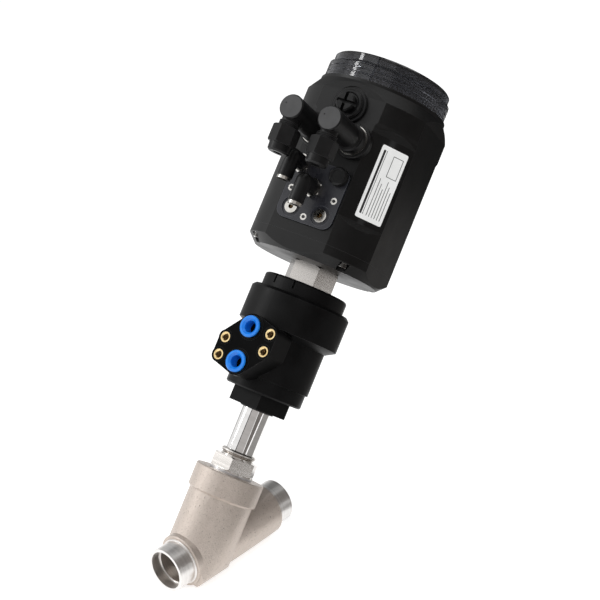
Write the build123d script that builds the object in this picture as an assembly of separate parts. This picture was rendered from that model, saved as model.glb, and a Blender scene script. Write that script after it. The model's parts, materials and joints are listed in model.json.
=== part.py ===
from build123d import *

import os
from math import cos, radians, sin, sqrt

# Angle seat valve, DN 25, with weld ends, a double-acting piston actuator and a
# digital positioner on top. Millimetres. The pipe axis is X, from the inlet face at
# the origin to the outlet, and Z is up. Heights along the stem are measured from the
# point where the stem axis crosses the pipe axis.

# General fits
FIT = 0.05            # radial play of a shaft in its hole, and of fixed round fits
GAP = 0.3             # space between faces of pieces that move past each other
EDGE = 1.0            # usual chamfer of a moulded or cast edge
CROWN_SLOPE = 0.6     # drop for each mm turned off a hexagon's corners

# Pipe run: tube ends 30 x 2 welded into the casting
TUBE_OD = 30.0
TUBE_WALL = 2.0
BODY_LENGTH = 106.0
INLET_LENGTH = 31.0   # inlet face to the stem axis
STEM_ANGLE = 53.0     # stem above the pipe axis, degrees
WELD_END = 13.0       # length of tube end outside the casting
WELD_SPIGOT = 4.0     # length of tube end inside the casting
WELD_SPIGOT_OD = 29.0
WELD_BORE_DEPTH = 7.0
FLOW_BORE = 24.0
RUN_END_OD = 36.0
RUN_MID_OD = 37.4
ARROW_LENGTH = 11.0
ARROW_WIDTH = 1.1
ARROW_RELIEF = 0.5
ARROW_PLACE = 0.42    # share of the way from the stem axis to the outlet

# Casting along the stem
NECK_OD = 44.4
COLLAR_OD = 47.8
COLLAR_LOW = 37.6
COLLAR_TOP = 53.5
COLLAR_CHAMFER = 0.6
CHAMBER_OD = 35.0
SEAT_WALL = 4.0       # partition that carries the seat
SEAT_BORE = 20.0
SEAT_LAND = 1.4       # width of the raised seat ring
SEAT_RISE = 0.8
THREAD_OD = 26.0      # bonnet thread in the collar
THREAD_LENGTH = 12.0

# Bonnet, column and spindle
GASKET_THICK = 1.2
GASKET_WIDTH = 2.0
BONNET_FLANGE = 1.0
BONNET_AF = 28.0
BONNET_HEX = 9.0
BONNET_GROOVE = 1.9
BEAD_OD = 24.6
BEAD_HEIGHT = 2.8
COLUMN_OD = 20.0
COLUMN_BORE = 14.0
COLUMN_SEEN = 30.6    # bright tube between bonnet and actuator
COLUMN_SOCKET = 6.0   # tube inside the bonnet
SPINDLE_OD = 10.0
STUD_OD = 7.0         # spindle end that carries the plug
GUIDE_LENGTH = 5.0
GUIDE_WALL = 2.0
PACKING_OD = 15.6
PACKING_RING = 2.0
PACKING_RINGS = 4
PACKING_WIRE = 1.2
PACKING_COILS = 3

# Plug
STROKE = 12.0
PLUG_OD = 25.0
PLUG_FLANGE = 4.0
PLUG_HUB = 12.0
SEAL_THICK = 2.2
SEAL_OD = 24.4
PLUG_NUT_AF = 11.0
PLUG_NUT = 4.4
PLUG_NUT_FLANGE = 1.6

# Actuator: cylinder of 50 mm bore
ACTUATOR_TURN = 6.0   # pad direction about the stem, from the inlet side
BOSS_AF = 39.0
BOSS_HEIGHT = 10.0
LIP_OD = 53.4
LIP_HEIGHT = 9.5
CYLINDER_OD = 56.4
CYLINDER_BORE = 50.0
CYLINDER_HEIGHT = 30.3
FLARE_HEIGHT = 4.0
COVER_OD = 70.0
COVER_HEIGHT = 24.8
COVER_WALL = 4.3
COVER_TOP_WALL = 8.0
FLOOR_WALL = 4.0
CROWN_OD = 58.6
CROWN_HEIGHT = 9.5
CROWN_SPIGOT_OD = 40.0
CROWN_SLOT = 1.6
CROWN_SLOT_HEIGHT = 6.5
CROWN_SLOT_ANGLE = 15.0
COLUMN_NUT_OD = 25.0
COLUMN_NUT = 5.0
COLUMN_THREAD_OD = 17.0
COLUMN_SHOULDER = 2.0
PISTON_CLEAR = 9.0    # free space under the piston when the valve is shut
PISTON_HEIGHT = 10.0
PISTON_SEAL = 3.0
PISTON_SEAL_DEPTH = 2.8
PISTON_HUB = 2.0
PISTON_STUD_OD = 8.0
PISTON_NUT_AF = 13.0
PISTON_NUT = 6.0
COVER_RING_WIRE = 2.2

# Air pad of the actuator
PAD_REACH = 44.3      # pad face from the stem axis
PAD_RISE = 36.1       # middle of the pad above the actuator's lowest face
PORT_OFFSET = 12.0
INSERT_SIDE = 15.6
INSERT_RISE = 12.0
PORT_ROUND = 8.9
INSERT_ROUND = 5.0
RIM_RISE = 0.5
RIM_WIDTH = 1.0
PORT_BORE = 15.2
PORT_DEPTH = 8.6
PORT_FLOOR = 1.0
AIR_DUCT = 4.0
AIR_TUBE = 8.0        # plastic tube that the ports take
COLLET_OD = 14.4
COLLET_HEAD = 1.7
COLLET_NECK_OD = 11.6
COLLET_LENGTH = 7.5
COLLET_TRAVEL = 1.0
INSERT_OD = 7.0
INSERT_THREAD = 4.2
INSERT_LENGTH = 8.0

# Adapter nut between actuator and positioner
NUT_AF = 31.0
NUT_HEIGHT = 14.6
NUT_TURN = 18.0
NUT_SPIGOT_OD = 24.0
NUT_SPIGOT = 14.0
NUT_HEAD_OD = 20.0
NUT_HEAD = 8.0
EXTENSION_OD = 7.0
EXTENSION_TOP = 30.0  # above the positioner's lowest face, valve shut
TARGET_OD = 14.0
TARGET_HEIGHT = 10.0

# Positioner housing: a round body with four flats
POSITIONER_TURN = 13.0
POSITIONER_OD = 100.0
FLAT_SUNK = 5.0       # depth of each flat in the round
BASE_HEIGHT = 12.0
BASE_CHAMFER = 6.0
BASE_FLOOR = 4.5
HOUSING_HEIGHT = 110.0
HOUSING_WALL = 3.0
SHOULDER_RISE = 0.7
SHOULDER_LOW = 27.0   # below the housing's top
SHOULDER_HIGH = 11.0
NECK_TOP_OD = 90.0
CAP_HEIGHT = 18.5
CAP_OD = 87.0
CAP_RIM_OD = 83.0
CAP_RIM = 6.0         # height of the narrower top of the cap
CAP_WALL = 2.4
CAP_SKIRT = 8.0
CAP_SKIRT_OD = 84.0
CAP_RIDGES = 3
CAP_RIDGE = 0.6
CAP_CREST = 0.6       # share of each ridge at full width
CAP_ROOT = 0.9        # share of each ridge where its groove ends
CAP_GRIPS = 18       # grip grooves in each of two groups
CAP_GRIP_ANGLE = 4.0
CAP_GRIP_START = 60.0
LEDGE_DROP = 19.0     # ledge of the display board below the housing's top
LEDGE_OD = 80.0
LEDGE_HEIGHT = 5.0
SCREW_EDGE = 4.0      # screw axis inside the round
SCREW_SINK = 2.5      # head above the lowest face
SCREW_HEAD_OD = 5.8
SCREW_HEAD = 3.0
SCREW_SHANK_OD = 3.4
SCREW_LENGTH = 12.0
SCREW_SOCKET_AF = 2.6

# Front panel of the positioner: side and height positions above its lowest face
CABLE_SIDE = 13.8
CABLE_HEIGHT = 80.0
CABLE_REACH = 93.0
CABLE_BODY_OD = 16.0
CABLE_ROOT_OD = 19.0
CABLE_ROOT = 6.0
CABLE_BASE_OD = 23.4
CABLE_BASE = 5.0
CABLE_WASHER = 0.8
CABLE_STUD_OD = 15.0
GLAND_REACH = 86.0
GLAND_NECK_OD = 11.4
GLAND_NECK_END = 12.0
GLAND_THREAD_OD = 10.0
GLAND_AF = 16.0
GLAND_HEX = 11.5
GLAND_RING = 5.5
GLAND_RING_OD = 14.4
CABLE_HOLE = 6.4
VENT_HEIGHT = 102.2
VENT_OD = 24.4
VENT_SEAT_OD = 27.0
VENT_DISC_OD = 20.4
VENT_DISC = 2.6
VENT_HUB_OD = 13.0
VENT_HUB = 5.0
VENT_FLANGE = 2.0
VENT_SLOT = 2.2
VENT_STEM_OD = 18.0
PLATE_WIDTH = 41.0
PLATE_LOW = 19.5
PLATE_TOP = 61.0
PLATE_CORNER = 6.5
PLATE_THICK = 2.5
PLATE_SUNK = 1.0
AIR_PORT_SIDE = 10.9
AIR_PORT_HEIGHT = 27.6
AIR_PORT_OD = 8.8
AIR_PORT_BORE = 3.4
AIR_PORT_SINK = 13.4
PLATE_SCREW_OD = 4.4
PLATE_SCREW_SIDE = 16.0
PLATE_SCREW_LOW = 23.7
PLATE_SCREW_HIGH = 39.4
ELBOW_SIDE = 14.0
ELBOW_SIDE_HEIGHT = 56.0
ELBOW_MID_HEIGHT = 43.0
ELBOW_NUT_AF = 11.4
ELBOW_NUT = 4.6
ELBOW_OD = 10.3
ELBOW_REACH = 65.0
ELBOW_DROP = 14.6
ELBOW_THREAD_OD = 8.6
ELBOW_SPIGOT_OD = 5.6
ELBOW_BORE = 6.0
ELBOW_RING_OD = 9.2
ELBOW_RING = 2.0
BUTTON_OD = 12.2
BUTTON_HEIGHT = 55.0
BUTTON_RISE = 5.6
LABEL_TURN = 45.0     # label flat, from the front panel
LABEL_SUNK = 3.0
LABEL_LOW = 33.0
LABEL_TOP = 91.0
LABEL_RAMP = 1.5      # rise of the recess's end walls for each mm of depth

# Inside the positioner
BOARD_THICK = 1.6
MAIN_BOARD_WIDTH = 62.0
MAIN_BOARD_HEIGHT = 84.0
MAIN_BOARD_X = -22.0
MANIFOLD_DEPTH = 17.0
MANIFOLD_WIDTH = 29.0
MANIFOLD_LOW = 23.0
MANIFOLD_HEIGHT = 32.0
PILOT_WIDTH = 7.0
PILOT_DEPTH = 11.0
PILOT_HEIGHT = 26.0
SENSOR_WIDTH = 9.0
SENSOR_CLEAR = 2.0
FASCIA_OD = 78.0
FASCIA_HEIGHT = 18.4
FASCIA_WALL = 2.0
SCREEN_WIDTH = 40.0
SCREEN_DEPTH = 22.0
SCREEN_THICK = 7.0
SCREEN_FRAME = 3.0
SCREEN_OFFSET = 9.0
KEY_OD = 7.4
KEY_FLANGE_OD = 9.4
KEY_FLANGE = 1.2
KEY_RISE = 1.6
KEY_STEM_OD = 3.0
KEY_TRAVEL = 0.7
KEY_SPACING = 13.0
KEY_OFFSET = -18.0
KEY_COUNT = 4

# Heights worked out from the sizes above
SEAT_FACE = SEAT_WALL + SEAT_RISE
SEAL_TOP = SEAT_FACE + SEAL_THICK
PLUG_TOP = SEAL_TOP + PLUG_FLANGE
BONNET_SEAT = COLLAR_TOP + GASKET_THICK
HEX_LOW = BONNET_SEAT + BONNET_FLANGE
HEX_TOP = HEX_LOW + BONNET_HEX
BEAD_TOP = HEX_TOP + BONNET_GROOVE + BEAD_HEIGHT
COLUMN_LOW = BEAD_TOP - COLUMN_SOCKET
BONNET_LOW = COLLAR_TOP - THREAD_LENGTH
ACTUATOR_LOW = BEAD_TOP + COLUMN_SEEN
CYLINDER_LOW = ACTUATOR_LOW + BOSS_HEIGHT
FLOOR_TOP = CYLINDER_LOW + FLOOR_WALL
COLUMN_NUT_TOP = FLOOR_TOP + GAP + COLUMN_NUT
PISTON_LOW = COLUMN_NUT_TOP + PISTON_CLEAR
PISTON_TOP = PISTON_LOW + PISTON_HEIGHT
PISTON_NUT_LOW = PISTON_TOP + PISTON_HUB
PISTON_NUT_TOP = PISTON_NUT_LOW + PISTON_NUT
FLARE_LOW = CYLINDER_LOW + LIP_HEIGHT + CYLINDER_HEIGHT
COVER_LOW = FLARE_LOW + FLARE_HEIGHT
COVER_TOP = COVER_LOW + COVER_HEIGHT
CYLINDER_TOP = COVER_TOP - COVER_TOP_WALL
CROWN_TOP = COVER_TOP + CROWN_HEIGHT
POSITIONER_LOW = CROWN_TOP + NUT_HEIGHT
HOUSING_LOW = POSITIONER_LOW + BASE_HEIGHT
HOUSING_TOP = HOUSING_LOW + HOUSING_HEIGHT
CAP_TOP = HOUSING_TOP + CAP_HEIGHT
LEDGE = HOUSING_TOP - LEDGE_DROP
FASCIA_LOW = LEDGE + BOARD_THICK
FASCIA_TOP = FASCIA_LOW + FASCIA_HEIGHT
PAD_HEIGHT = ACTUATOR_LOW + PAD_RISE
COVER_BORE = COVER_OD - 2 * COVER_WALL
FLATS = POSITIONER_OD - 2 * FLAT_SUNK
SHOULDER_OD = POSITIONER_OD + 2 * SHOULDER_RISE
SCREW_REACH = POSITIONER_OD / 2 - SCREW_EDGE
PANEL = FLATS / 2
PLATE_BACK = PANEL - PLATE_SUNK

# Frames: the stem frame has Z along the stem and X towards the inlet side. The
# actuator and the positioner are turned about the stem.
STEM = Plane(
    origin=(INLET_LENGTH, 0, 0),
    x_dir=(-sin(radians(STEM_ANGLE)), 0, cos(radians(STEM_ANGLE))),
    z_dir=(cos(radians(STEM_ANGLE)), 0, sin(radians(STEM_ANGLE))),
).location
ACTUATOR = STEM * Rot(0, 0, ACTUATOR_TURN)
POSITIONER = STEM * Rot(0, 0, POSITIONER_TURN)
# Facing frame: X to the side, Y up the stem, Z outwards from the stem axis
OUTWARD = Plane(origin=(0, 0, 0), x_dir=(0, 1, 0), z_dir=(1, 0, 0)).location
BOTTOM = (Align.CENTER, Align.CENTER, Align.MIN)


def rod(diameter, low, high):
    """Round bar along Z."""
    return Pos(0, 0, low) * Cylinder(diameter / 2, high - low, align=BOTTOM)


def tube(outer, inner, low, high):
    """Round tube along Z."""
    return rod(outer, low, high) - rod(inner, low, high)


def turned(*points):
    """Solid turned about Z from (radius, height) points."""
    return revolve(make_face(Plane.XZ * Polyline(*points, close=True)), Axis.Z)


def block(width, depth, low, high, x=0, y=0):
    """Upright block, centred on x and y."""
    return Pos(x, y, low) * Box(width, depth, high - low, align=BOTTOM)


def hexagon(across, low, high, crown=0.0):
    """Hexagon bar with flats towards X; crown is how far its corners are turned off."""
    outline = RegularPolygon(across / 2, 6, major_radius=False, rotation=30)
    bar = extrude(Pos(0, 0, low) * outline, high - low)
    if crown:
        corner = across / sqrt(3)
        bar &= turned(
            (0, low), (corner - crown, low), (corner, low + crown * CROWN_SLOPE),
            (corner, high - crown * CROWN_SLOPE), (corner - crown, high), (0, high),
        )
    return bar


def write(name, shape, frame=Location()):
    """One STEP file for each sub-part, placed in the shared frame."""
    export_step(frame * shape, f"parts/{name}.step")


# Valve body and weld ends ------------------------------------------------------


def pipe_rod(diameter, start, end):
    """Round bar along the pipe axis."""
    return Pos(start, 0, 0) * Rot(0, 90, 0) * rod(diameter, 0, end - start)


def pipe_run():
    """Barrel-shaped outside of the run, with rounded ends."""
    end, middle = RUN_END_OD / 2, RUN_MID_OD / 2
    start, stop = WELD_END, BODY_LENGTH - WELD_END
    soft = EDGE * (1 - sqrt(0.5))
    outline = (
        Line((start, 0), (start, end - EDGE))
        + ThreePointArc((start, end - EDGE), (start + soft, end - soft), (start + EDGE, end))
        + ThreePointArc(
            (start + EDGE, end), ((start + stop) / 2, middle), (stop - EDGE, end)
        )
        + ThreePointArc((stop - EDGE, end), (stop - soft, end - soft), (stop, end - EDGE))
        + Polyline((stop, end - EDGE), (stop, 0), (start, 0))
    )
    return revolve(make_face(Plane.XZ * outline), Axis.X)


def neck():
    """Branch for the bonnet: round about the stem, cut to the run's shape below."""
    outline = Ellipse(NECK_OD / 2, RUN_MID_OD / 2)
    outline += Pos(0, COLLAR_TOP / 2) * Rectangle(NECK_OD, COLLAR_TOP)
    start, stop = WELD_END + EDGE, BODY_LENGTH - WELD_END
    envelope = Pos(start, 0, 0) * extrude(Plane.YZ * outline, stop - start)
    branch = STEM * rod(NECK_OD, -NECK_OD / 2, COLLAR_LOW)
    radius, side = COLLAR_OD / 2, NECK_OD / 2
    collar = turned(
        (0, COLLAR_LOW - EDGE), (side, COLLAR_LOW - EDGE), (radius, COLLAR_LOW + EDGE / 2),
        (radius, COLLAR_TOP - COLLAR_CHAMFER), (radius - COLLAR_CHAMFER, COLLAR_TOP),
        (0, COLLAR_TOP),
    )
    return (branch & envelope) + STEM * collar


def flow_arrow():
    """Raised flow arrow on one side of the run, pointing to the outlet."""
    middle = INLET_LENGTH + (BODY_LENGTH - INLET_LENGTH) * ARROW_PLACE
    half = ARROW_LENGTH / 2
    arrow = Rectangle(ARROW_LENGTH, ARROW_WIDTH)
    arrow += Pos(half, 0) * make_face(
        Polyline((0, 2 * ARROW_WIDTH), (3 * ARROW_WIDTH, 0), (0, -2 * ARROW_WIDTH), close=True)
    )
    depth = RUN_MID_OD / 2
    mark = extrude(Plane.XZ * Pos(middle, 0) * arrow, depth + ARROW_RELIEF)
    return mark & pipe_rod(RUN_MID_OD - EDGE + 2 * ARROW_RELIEF, 0, BODY_LENGTH)


def valve_body():
    low, high = WELD_END + WELD_SPIGOT, BODY_LENGTH - WELD_END - WELD_SPIGOT
    below = STEM * block(BODY_LENGTH * 2, BODY_LENGTH * 2, -BODY_LENGTH, 0)
    above = STEM * block(BODY_LENGTH * 2, BODY_LENGTH * 2, SEAT_WALL, BODY_LENGTH)
    inlet = pipe_rod(FLOW_BORE, 0, BODY_LENGTH) & below
    outlet = pipe_rod(FLOW_BORE, INLET_LENGTH, BODY_LENGTH) & above
    chamber = rod(CHAMBER_OD, SEAT_WALL, BONNET_LOW - EDGE)
    chamber += rod(THREAD_OD, BONNET_LOW - EDGE, COLLAR_TOP)
    chamber += rod(SEAT_BORE, -EDGE, SEAT_WALL)
    socket = WELD_SPIGOT_OD + 2 * FIT
    sockets = pipe_rod(socket, 0, low) + pipe_rod(socket, high, BODY_LENGTH)
    body = pipe_run() + neck() + flow_arrow()
    body -= inlet + outlet + STEM * chamber + sockets
    land = tube(SEAT_BORE + 2 * SEAT_LAND, SEAT_BORE, SEAT_WALL - EDGE, SEAT_FACE)
    return body + STEM * land


def weld_end():
    """Tube end along X, its open end at the origin."""
    outer, inner, flow = TUBE_OD / 2, TUBE_OD / 2 - TUBE_WALL, FLOW_BORE / 2
    spigot, length = WELD_SPIGOT_OD / 2, WELD_END + WELD_SPIGOT
    end = turned(
        (inner, 0), (outer, 0), (outer, WELD_END), (spigot, WELD_END), (spigot, length),
        (flow, length), (flow, WELD_BORE_DEPTH), (inner, WELD_BORE_DEPTH),
    )
    return Rot(0, 90, 0) * end


# Bonnet, packing and column ----------------------------------------------------


def bonnet_gasket():
    return tube(THREAD_OD + 2 * GASKET_WIDTH, THREAD_OD, COLLAR_TOP, BONNET_SEAT)


def bonnet():
    thread, bead = THREAD_OD / 2 - FIT, BEAD_OD / 2
    packing, socket = PACKING_OD / 2 + FIT, COLUMN_OD / 2 + FIT
    guide = SPINDLE_OD / 2 + GUIDE_WALL + FIT
    bead_low = BEAD_TOP - BEAD_HEIGHT
    outside = turned(
        (0, BONNET_LOW), (thread, BONNET_LOW), (thread, BONNET_SEAT),
        (THREAD_OD / 2 + GASKET_WIDTH, BONNET_SEAT), (THREAD_OD / 2 + GASKET_WIDTH, HEX_LOW),
        (bead - EDGE, HEX_LOW), (bead - EDGE, bead_low - EDGE), (bead - 2 * EDGE, bead_low),
        (bead - EDGE, bead_low), (bead, bead_low + EDGE), (bead, BEAD_TOP - EDGE),
        (bead - EDGE, BEAD_TOP), (0, BEAD_TOP),
    )
    outside += hexagon(BONNET_AF, HEX_LOW, HEX_TOP, crown=EDGE)
    bores = rod(2 * guide, BONNET_LOW, BONNET_LOW + GUIDE_LENGTH)
    bores += rod(SPINDLE_OD + 2 * GAP, BONNET_LOW, BEAD_TOP)
    bores += rod(2 * packing, BONNET_LOW + GUIDE_LENGTH + EDGE, COLUMN_LOW)
    bores += rod(2 * socket, COLUMN_LOW, BEAD_TOP)
    return outside - bores


def guide_bush():
    """Plain bearing of the spindle in the bonnet's foot."""
    outer = SPINDLE_OD + 2 * GUIDE_WALL
    return tube(outer, SPINDLE_OD + 2 * FIT, BONNET_LOW, BONNET_LOW + GUIDE_LENGTH)


def packing_spring():
    """Coil spring that keeps the packing rings pressed together."""
    low, high = packing_heights()[0], packing_heights()[1]
    radius = (SPINDLE_OD + PACKING_OD) / 4
    wire = PACKING_WIRE / 2
    rise = high - low - PACKING_WIRE
    path = Pos(0, 0, low + wire) * Helix(rise / PACKING_COILS, rise, radius)
    section = Plane(path @ 0, z_dir=path % 0) * Circle(wire - FIT)
    return sweep(section, path)


def packing_heights():
    """Bottom of the spring, of the rings and of the gland, and top of the gland."""
    top = COLUMN_LOW
    gland = top - PACKING_RING
    rings = gland - PACKING_RINGS * PACKING_RING
    return BONNET_LOW + GUIDE_LENGTH + EDGE, rings, gland, top


def packing_rings():
    """V-shaped rings stacked around the spindle."""
    outer, inner = PACKING_OD / 2, SPINDLE_OD / 2 + FIT
    middle, lift = (outer + inner) / 2, PACKING_RING / 2
    start = packing_heights()[1]
    rings = [
        turned(
            (inner, z), (middle, z + lift), (outer, z), (outer, z + lift),
            (middle, z + 2 * lift), (inner, z + lift),
        )
        for z in (start + n * PACKING_RING for n in range(PACKING_RINGS))
    ]
    return Compound(children=rings)


def packing_gland():
    low, high = packing_heights()[2], packing_heights()[3]
    return tube(PACKING_OD, SPINDLE_OD + 2 * FIT, low, high)


def column_tube():
    """Bright tube from the bonnet into the actuator, with a shoulder for the boss."""
    outer, thread, bore = COLUMN_OD / 2, COLUMN_THREAD_OD / 2, COLUMN_BORE / 2
    shoulder = ACTUATOR_LOW + COLUMN_SHOULDER
    return turned(
        (bore, COLUMN_LOW), (outer, COLUMN_LOW), (outer, shoulder), (thread, shoulder),
        (thread, COLUMN_NUT_TOP), (bore, COLUMN_NUT_TOP),
    )


def column_nut():
    """Nut that holds the actuator on the column and lets it swivel."""
    return tube(COLUMN_NUT_OD, COLUMN_THREAD_OD, FLOOR_TOP + GAP, COLUMN_NUT_TOP)


# Spindle, plug and piston ------------------------------------------------------


def spindle():
    stud, shaft, top = STUD_OD / 2, SPINDLE_OD / 2, PISTON_STUD_OD / 2
    foot = SEAT_FACE - PLUG_NUT_FLANGE - PLUG_NUT - EDGE / 2
    return turned(
        (0, foot), (stud - EDGE / 2, foot), (stud, foot + EDGE / 2), (stud, PLUG_TOP),
        (shaft, PLUG_TOP), (shaft, PISTON_LOW), (top, PISTON_LOW), (top, PISTON_NUT_TOP),
        (0, PISTON_NUT_TOP),
    )


def plug_disc():
    hub, bore, flange = PLUG_HUB / 2, STUD_OD / 2 + FIT, PLUG_OD / 2
    return turned(
        (bore, SEAT_FACE), (hub, SEAT_FACE), (hub, SEAL_TOP), (flange, SEAL_TOP),
        (flange, PLUG_TOP - EDGE), (flange - EDGE, PLUG_TOP), (bore, PLUG_TOP),
    )


def seat_seal():
    return tube(SEAL_OD, PLUG_HUB + 2 * FIT, SEAT_FACE, SEAL_TOP)


def plug_nut():
    """Flanged nut that clamps the seat seal to the plug."""
    flange = SEAT_FACE - PLUG_NUT_FLANGE
    low = flange - PLUG_NUT
    nut = hexagon(PLUG_NUT_AF, low, flange, crown=EDGE / 2)
    nut += rod(SEAT_BORE - EDGE, flange, SEAT_FACE)
    return nut - rod(STUD_OD + 2 * FIT, low, SEAT_FACE)


def piston_groove():
    """Low and high edge of the seal groove."""
    middle = (PISTON_LOW + PISTON_TOP) / 2
    return middle - PISTON_SEAL / 2, middle + PISTON_SEAL / 2


def piston():
    outer, bore = CYLINDER_BORE / 2 - GAP, PISTON_STUD_OD / 2 + FIT
    low, high = piston_groove()
    deep = CYLINDER_BORE / 2 - PISTON_SEAL_DEPTH
    hub = PISTON_NUT_AF / 2 + 2 * EDGE
    return turned(
        (bore, PISTON_LOW), (outer - EDGE, PISTON_LOW), (outer, PISTON_LOW + EDGE), (outer, low),
        (deep, low), (deep, high), (outer, high), (outer, PISTON_TOP - EDGE),
        (outer - EDGE, PISTON_TOP), (hub, PISTON_TOP), (hub, PISTON_NUT_LOW),
        (bore, PISTON_NUT_LOW),
    )


def piston_seal():
    low, high = piston_groove()
    deep = CYLINDER_BORE - 2 * PISTON_SEAL_DEPTH + 2 * FIT
    return tube(CYLINDER_BORE - 2 * FIT, deep, low, high)


def piston_nut():
    nut = hexagon(PISTON_NUT_AF, PISTON_NUT_LOW, PISTON_NUT_TOP, crown=EDGE / 2)
    return nut - rod(PISTON_STUD_OD + 2 * FIT, PISTON_NUT_LOW, PISTON_NUT_TOP)


def stem_extension():
    """Rod from the piston up into the positioner."""
    top = POSITIONER_LOW + EXTENSION_TOP
    return rod(EXTENSION_OD, PISTON_NUT_TOP, top - EDGE / 2) + turned(
        (0, top - EDGE / 2), (EXTENSION_OD / 2, top - EDGE / 2),
        (EXTENSION_OD / 2 - EDGE / 2, top), (0, top),
    )


def travel_target():
    """Magnet ring that the travel sensor reads."""
    top = POSITIONER_LOW + EXTENSION_TOP - EDGE
    return tube(TARGET_OD, EXTENSION_OD + 2 * FIT, top - TARGET_HEIGHT, top)


# Actuator ------------------------------------------------------------------------


def port_places():
    """Side and height of the two air ports about the middle of the pad."""
    return [(0, -PORT_OFFSET), (0, PORT_OFFSET)]


def insert_places():
    """Side and height of the four brass inserts about the middle of the pad."""
    return [
        (INSERT_SIDE, INSERT_RISE), (INSERT_SIDE, 0), (-INSERT_SIDE, 0),
        (-INSERT_SIDE, -INSERT_RISE),
    ]


def pad_at(side, height, reach=0.0):
    """Place on the air pad, facing outwards."""
    return OUTWARD * Pos(side, PAD_HEIGHT + height, reach)


def air_pad():
    """Raised pad with rounded corners about every port and insert."""
    rounds = [Pos(x, y) * Circle(PORT_ROUND) for x, y in port_places()]
    rounds += [Pos(x, y) * Circle(INSERT_ROUND) for x, y in insert_places()]
    face = make_hull(Sketch(children=rounds).edges())
    start = CYLINDER_BORE / 2
    pad = pad_at(0, 0, start) * extrude(face, PAD_REACH - start)
    pad -= rod(COVER_OD + 4 * GAP, COVER_LOW - GAP, COVER_TOP)
    for x, y in port_places():
        pad += pad_at(x, y) * tube(
            2 * PORT_ROUND, 2 * (PORT_ROUND - RIM_WIDTH), PAD_REACH - EDGE, PAD_REACH + RIM_RISE
        )
    for x, y in insert_places():
        pad += pad_at(x, y) * tube(
            2 * INSERT_ROUND, 2 * (INSERT_ROUND - RIM_WIDTH), PAD_REACH - EDGE,
            PAD_REACH + RIM_RISE,
        )
    return pad


def air_ducts():
    """Bores behind the ports; the upper one has a slot that leads over the piston."""
    wall = CYLINDER_BORE / 2
    cuts = Part()
    for x, y in port_places():
        cuts += pad_at(x, y) * rod(PORT_BORE, PAD_REACH - PORT_DEPTH, PAD_REACH + EDGE)
        cuts += pad_at(x, y) * rod(AIR_DUCT, wall - EDGE, PAD_REACH)
    for x, y in insert_places():
        cuts += pad_at(x, y) * rod(
            INSERT_OD + 2 * FIT, PAD_REACH - INSERT_LENGTH, PAD_REACH + EDGE
        )
    upper = PAD_HEIGHT + PORT_OFFSET
    top = PISTON_TOP + STROKE + AIR_DUCT
    cuts += Pos(wall, 0, 0) * block(AIR_DUCT / 2, AIR_DUCT, upper, top)
    return cuts


def actuator_housing():
    lip, wall, flare = LIP_OD / 2, CYLINDER_OD / 2, COVER_OD / 2
    spigot = COVER_BORE / 2 - FIT
    lip_top = CYLINDER_LOW + LIP_HEIGHT
    groove_low = (COVER_LOW + CYLINDER_TOP) / 2
    groove_high = groove_low + COVER_RING_WIRE + 2 * FIT
    deep = spigot - COVER_RING_WIRE
    shell = turned(
        (0, CYLINDER_LOW), (lip - EDGE, CYLINDER_LOW), (lip, CYLINDER_LOW + EDGE),
        (lip, lip_top), (wall, lip_top + EDGE / 2), (wall, FLARE_LOW), (flare, COVER_LOW - FIT),
        (spigot, COVER_LOW - FIT), (spigot, groove_low), (deep, groove_low),
        (deep, groove_high), (spigot, groove_high), (spigot, CYLINDER_TOP), (0, CYLINDER_TOP),
    )
    boss = hexagon(BOSS_AF, ACTUATOR_LOW, CYLINDER_LOW + EDGE)
    inside = rod(CYLINDER_BORE, FLOOR_TOP, CYLINDER_TOP)
    inside += rod(COLUMN_THREAD_OD + 2 * FIT, ACTUATOR_LOW, FLOOR_TOP)
    inside += rod(COLUMN_OD + 2 * FIT, ACTUATOR_LOW, ACTUATOR_LOW + COLUMN_SHOULDER + GAP)
    return shell + boss + air_pad() - inside - air_ducts()


def cover_ring():
    """O-ring between the cylinder and its cover."""
    radius = COVER_BORE / 2 - FIT - COVER_RING_WIRE / 2
    middle = (COVER_LOW + CYLINDER_TOP) / 2 + COVER_RING_WIRE / 2 + FIT
    return Pos(0, 0, middle) * Torus(radius, COVER_RING_WIRE / 2 - FIT)


def actuator_cover():
    outer, bore, hole = COVER_OD / 2, COVER_BORE / 2, CROWN_SPIGOT_OD / 2 + FIT
    return turned(
        (bore, COVER_LOW), (outer, COVER_LOW), (outer, COVER_TOP - 2 * EDGE),
        (outer - 2 * EDGE, COVER_TOP), (hole, COVER_TOP), (hole, CYLINDER_TOP),
        (bore, CYLINDER_TOP),
    )


def crown_ring():
    """Top ring with spanner slots, screwed into the cover."""
    outer, spigot, bore = CROWN_OD / 2, CROWN_SPIGOT_OD / 2, NUT_SPIGOT_OD / 2 + FIT
    soft = 1.5 * EDGE
    ring = turned(
        (bore, CYLINDER_TOP), (spigot, CYLINDER_TOP), (spigot, COVER_TOP), (outer, COVER_TOP),
        (outer, CROWN_TOP - soft), (outer - soft / 3, CROWN_TOP - soft / 3),
        (outer - soft, CROWN_TOP), (bore, CROWN_TOP),
    )
    low = CROWN_TOP - CROWN_SLOT_HEIGHT
    slot = block(3 * CROWN_SLOT, CROWN_SLOT, low, CROWN_TOP, x=outer)
    for side in (-1, 1):
        for back in (0, 180):
            ring -= Rot(0, 0, side * CROWN_SLOT_ANGLE + back) * slot
    return ring


def port_sleeves():
    """Bodies of the two push-in fittings, sunk in the pad."""
    low = PAD_REACH - PORT_DEPTH
    shape = turned(
        (COLLET_NECK_OD / 2 + FIT, low + PORT_FLOOR), (COLLET_NECK_OD / 2 + FIT, PAD_REACH),
        (PORT_BORE / 2 - FIT, PAD_REACH), (PORT_BORE / 2 - FIT, low),
        (AIR_DUCT / 2, low), (AIR_DUCT / 2, low + PORT_FLOOR),
    )
    return Compound(children=[pad_at(x, y) * shape for x, y in port_places()])


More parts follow.
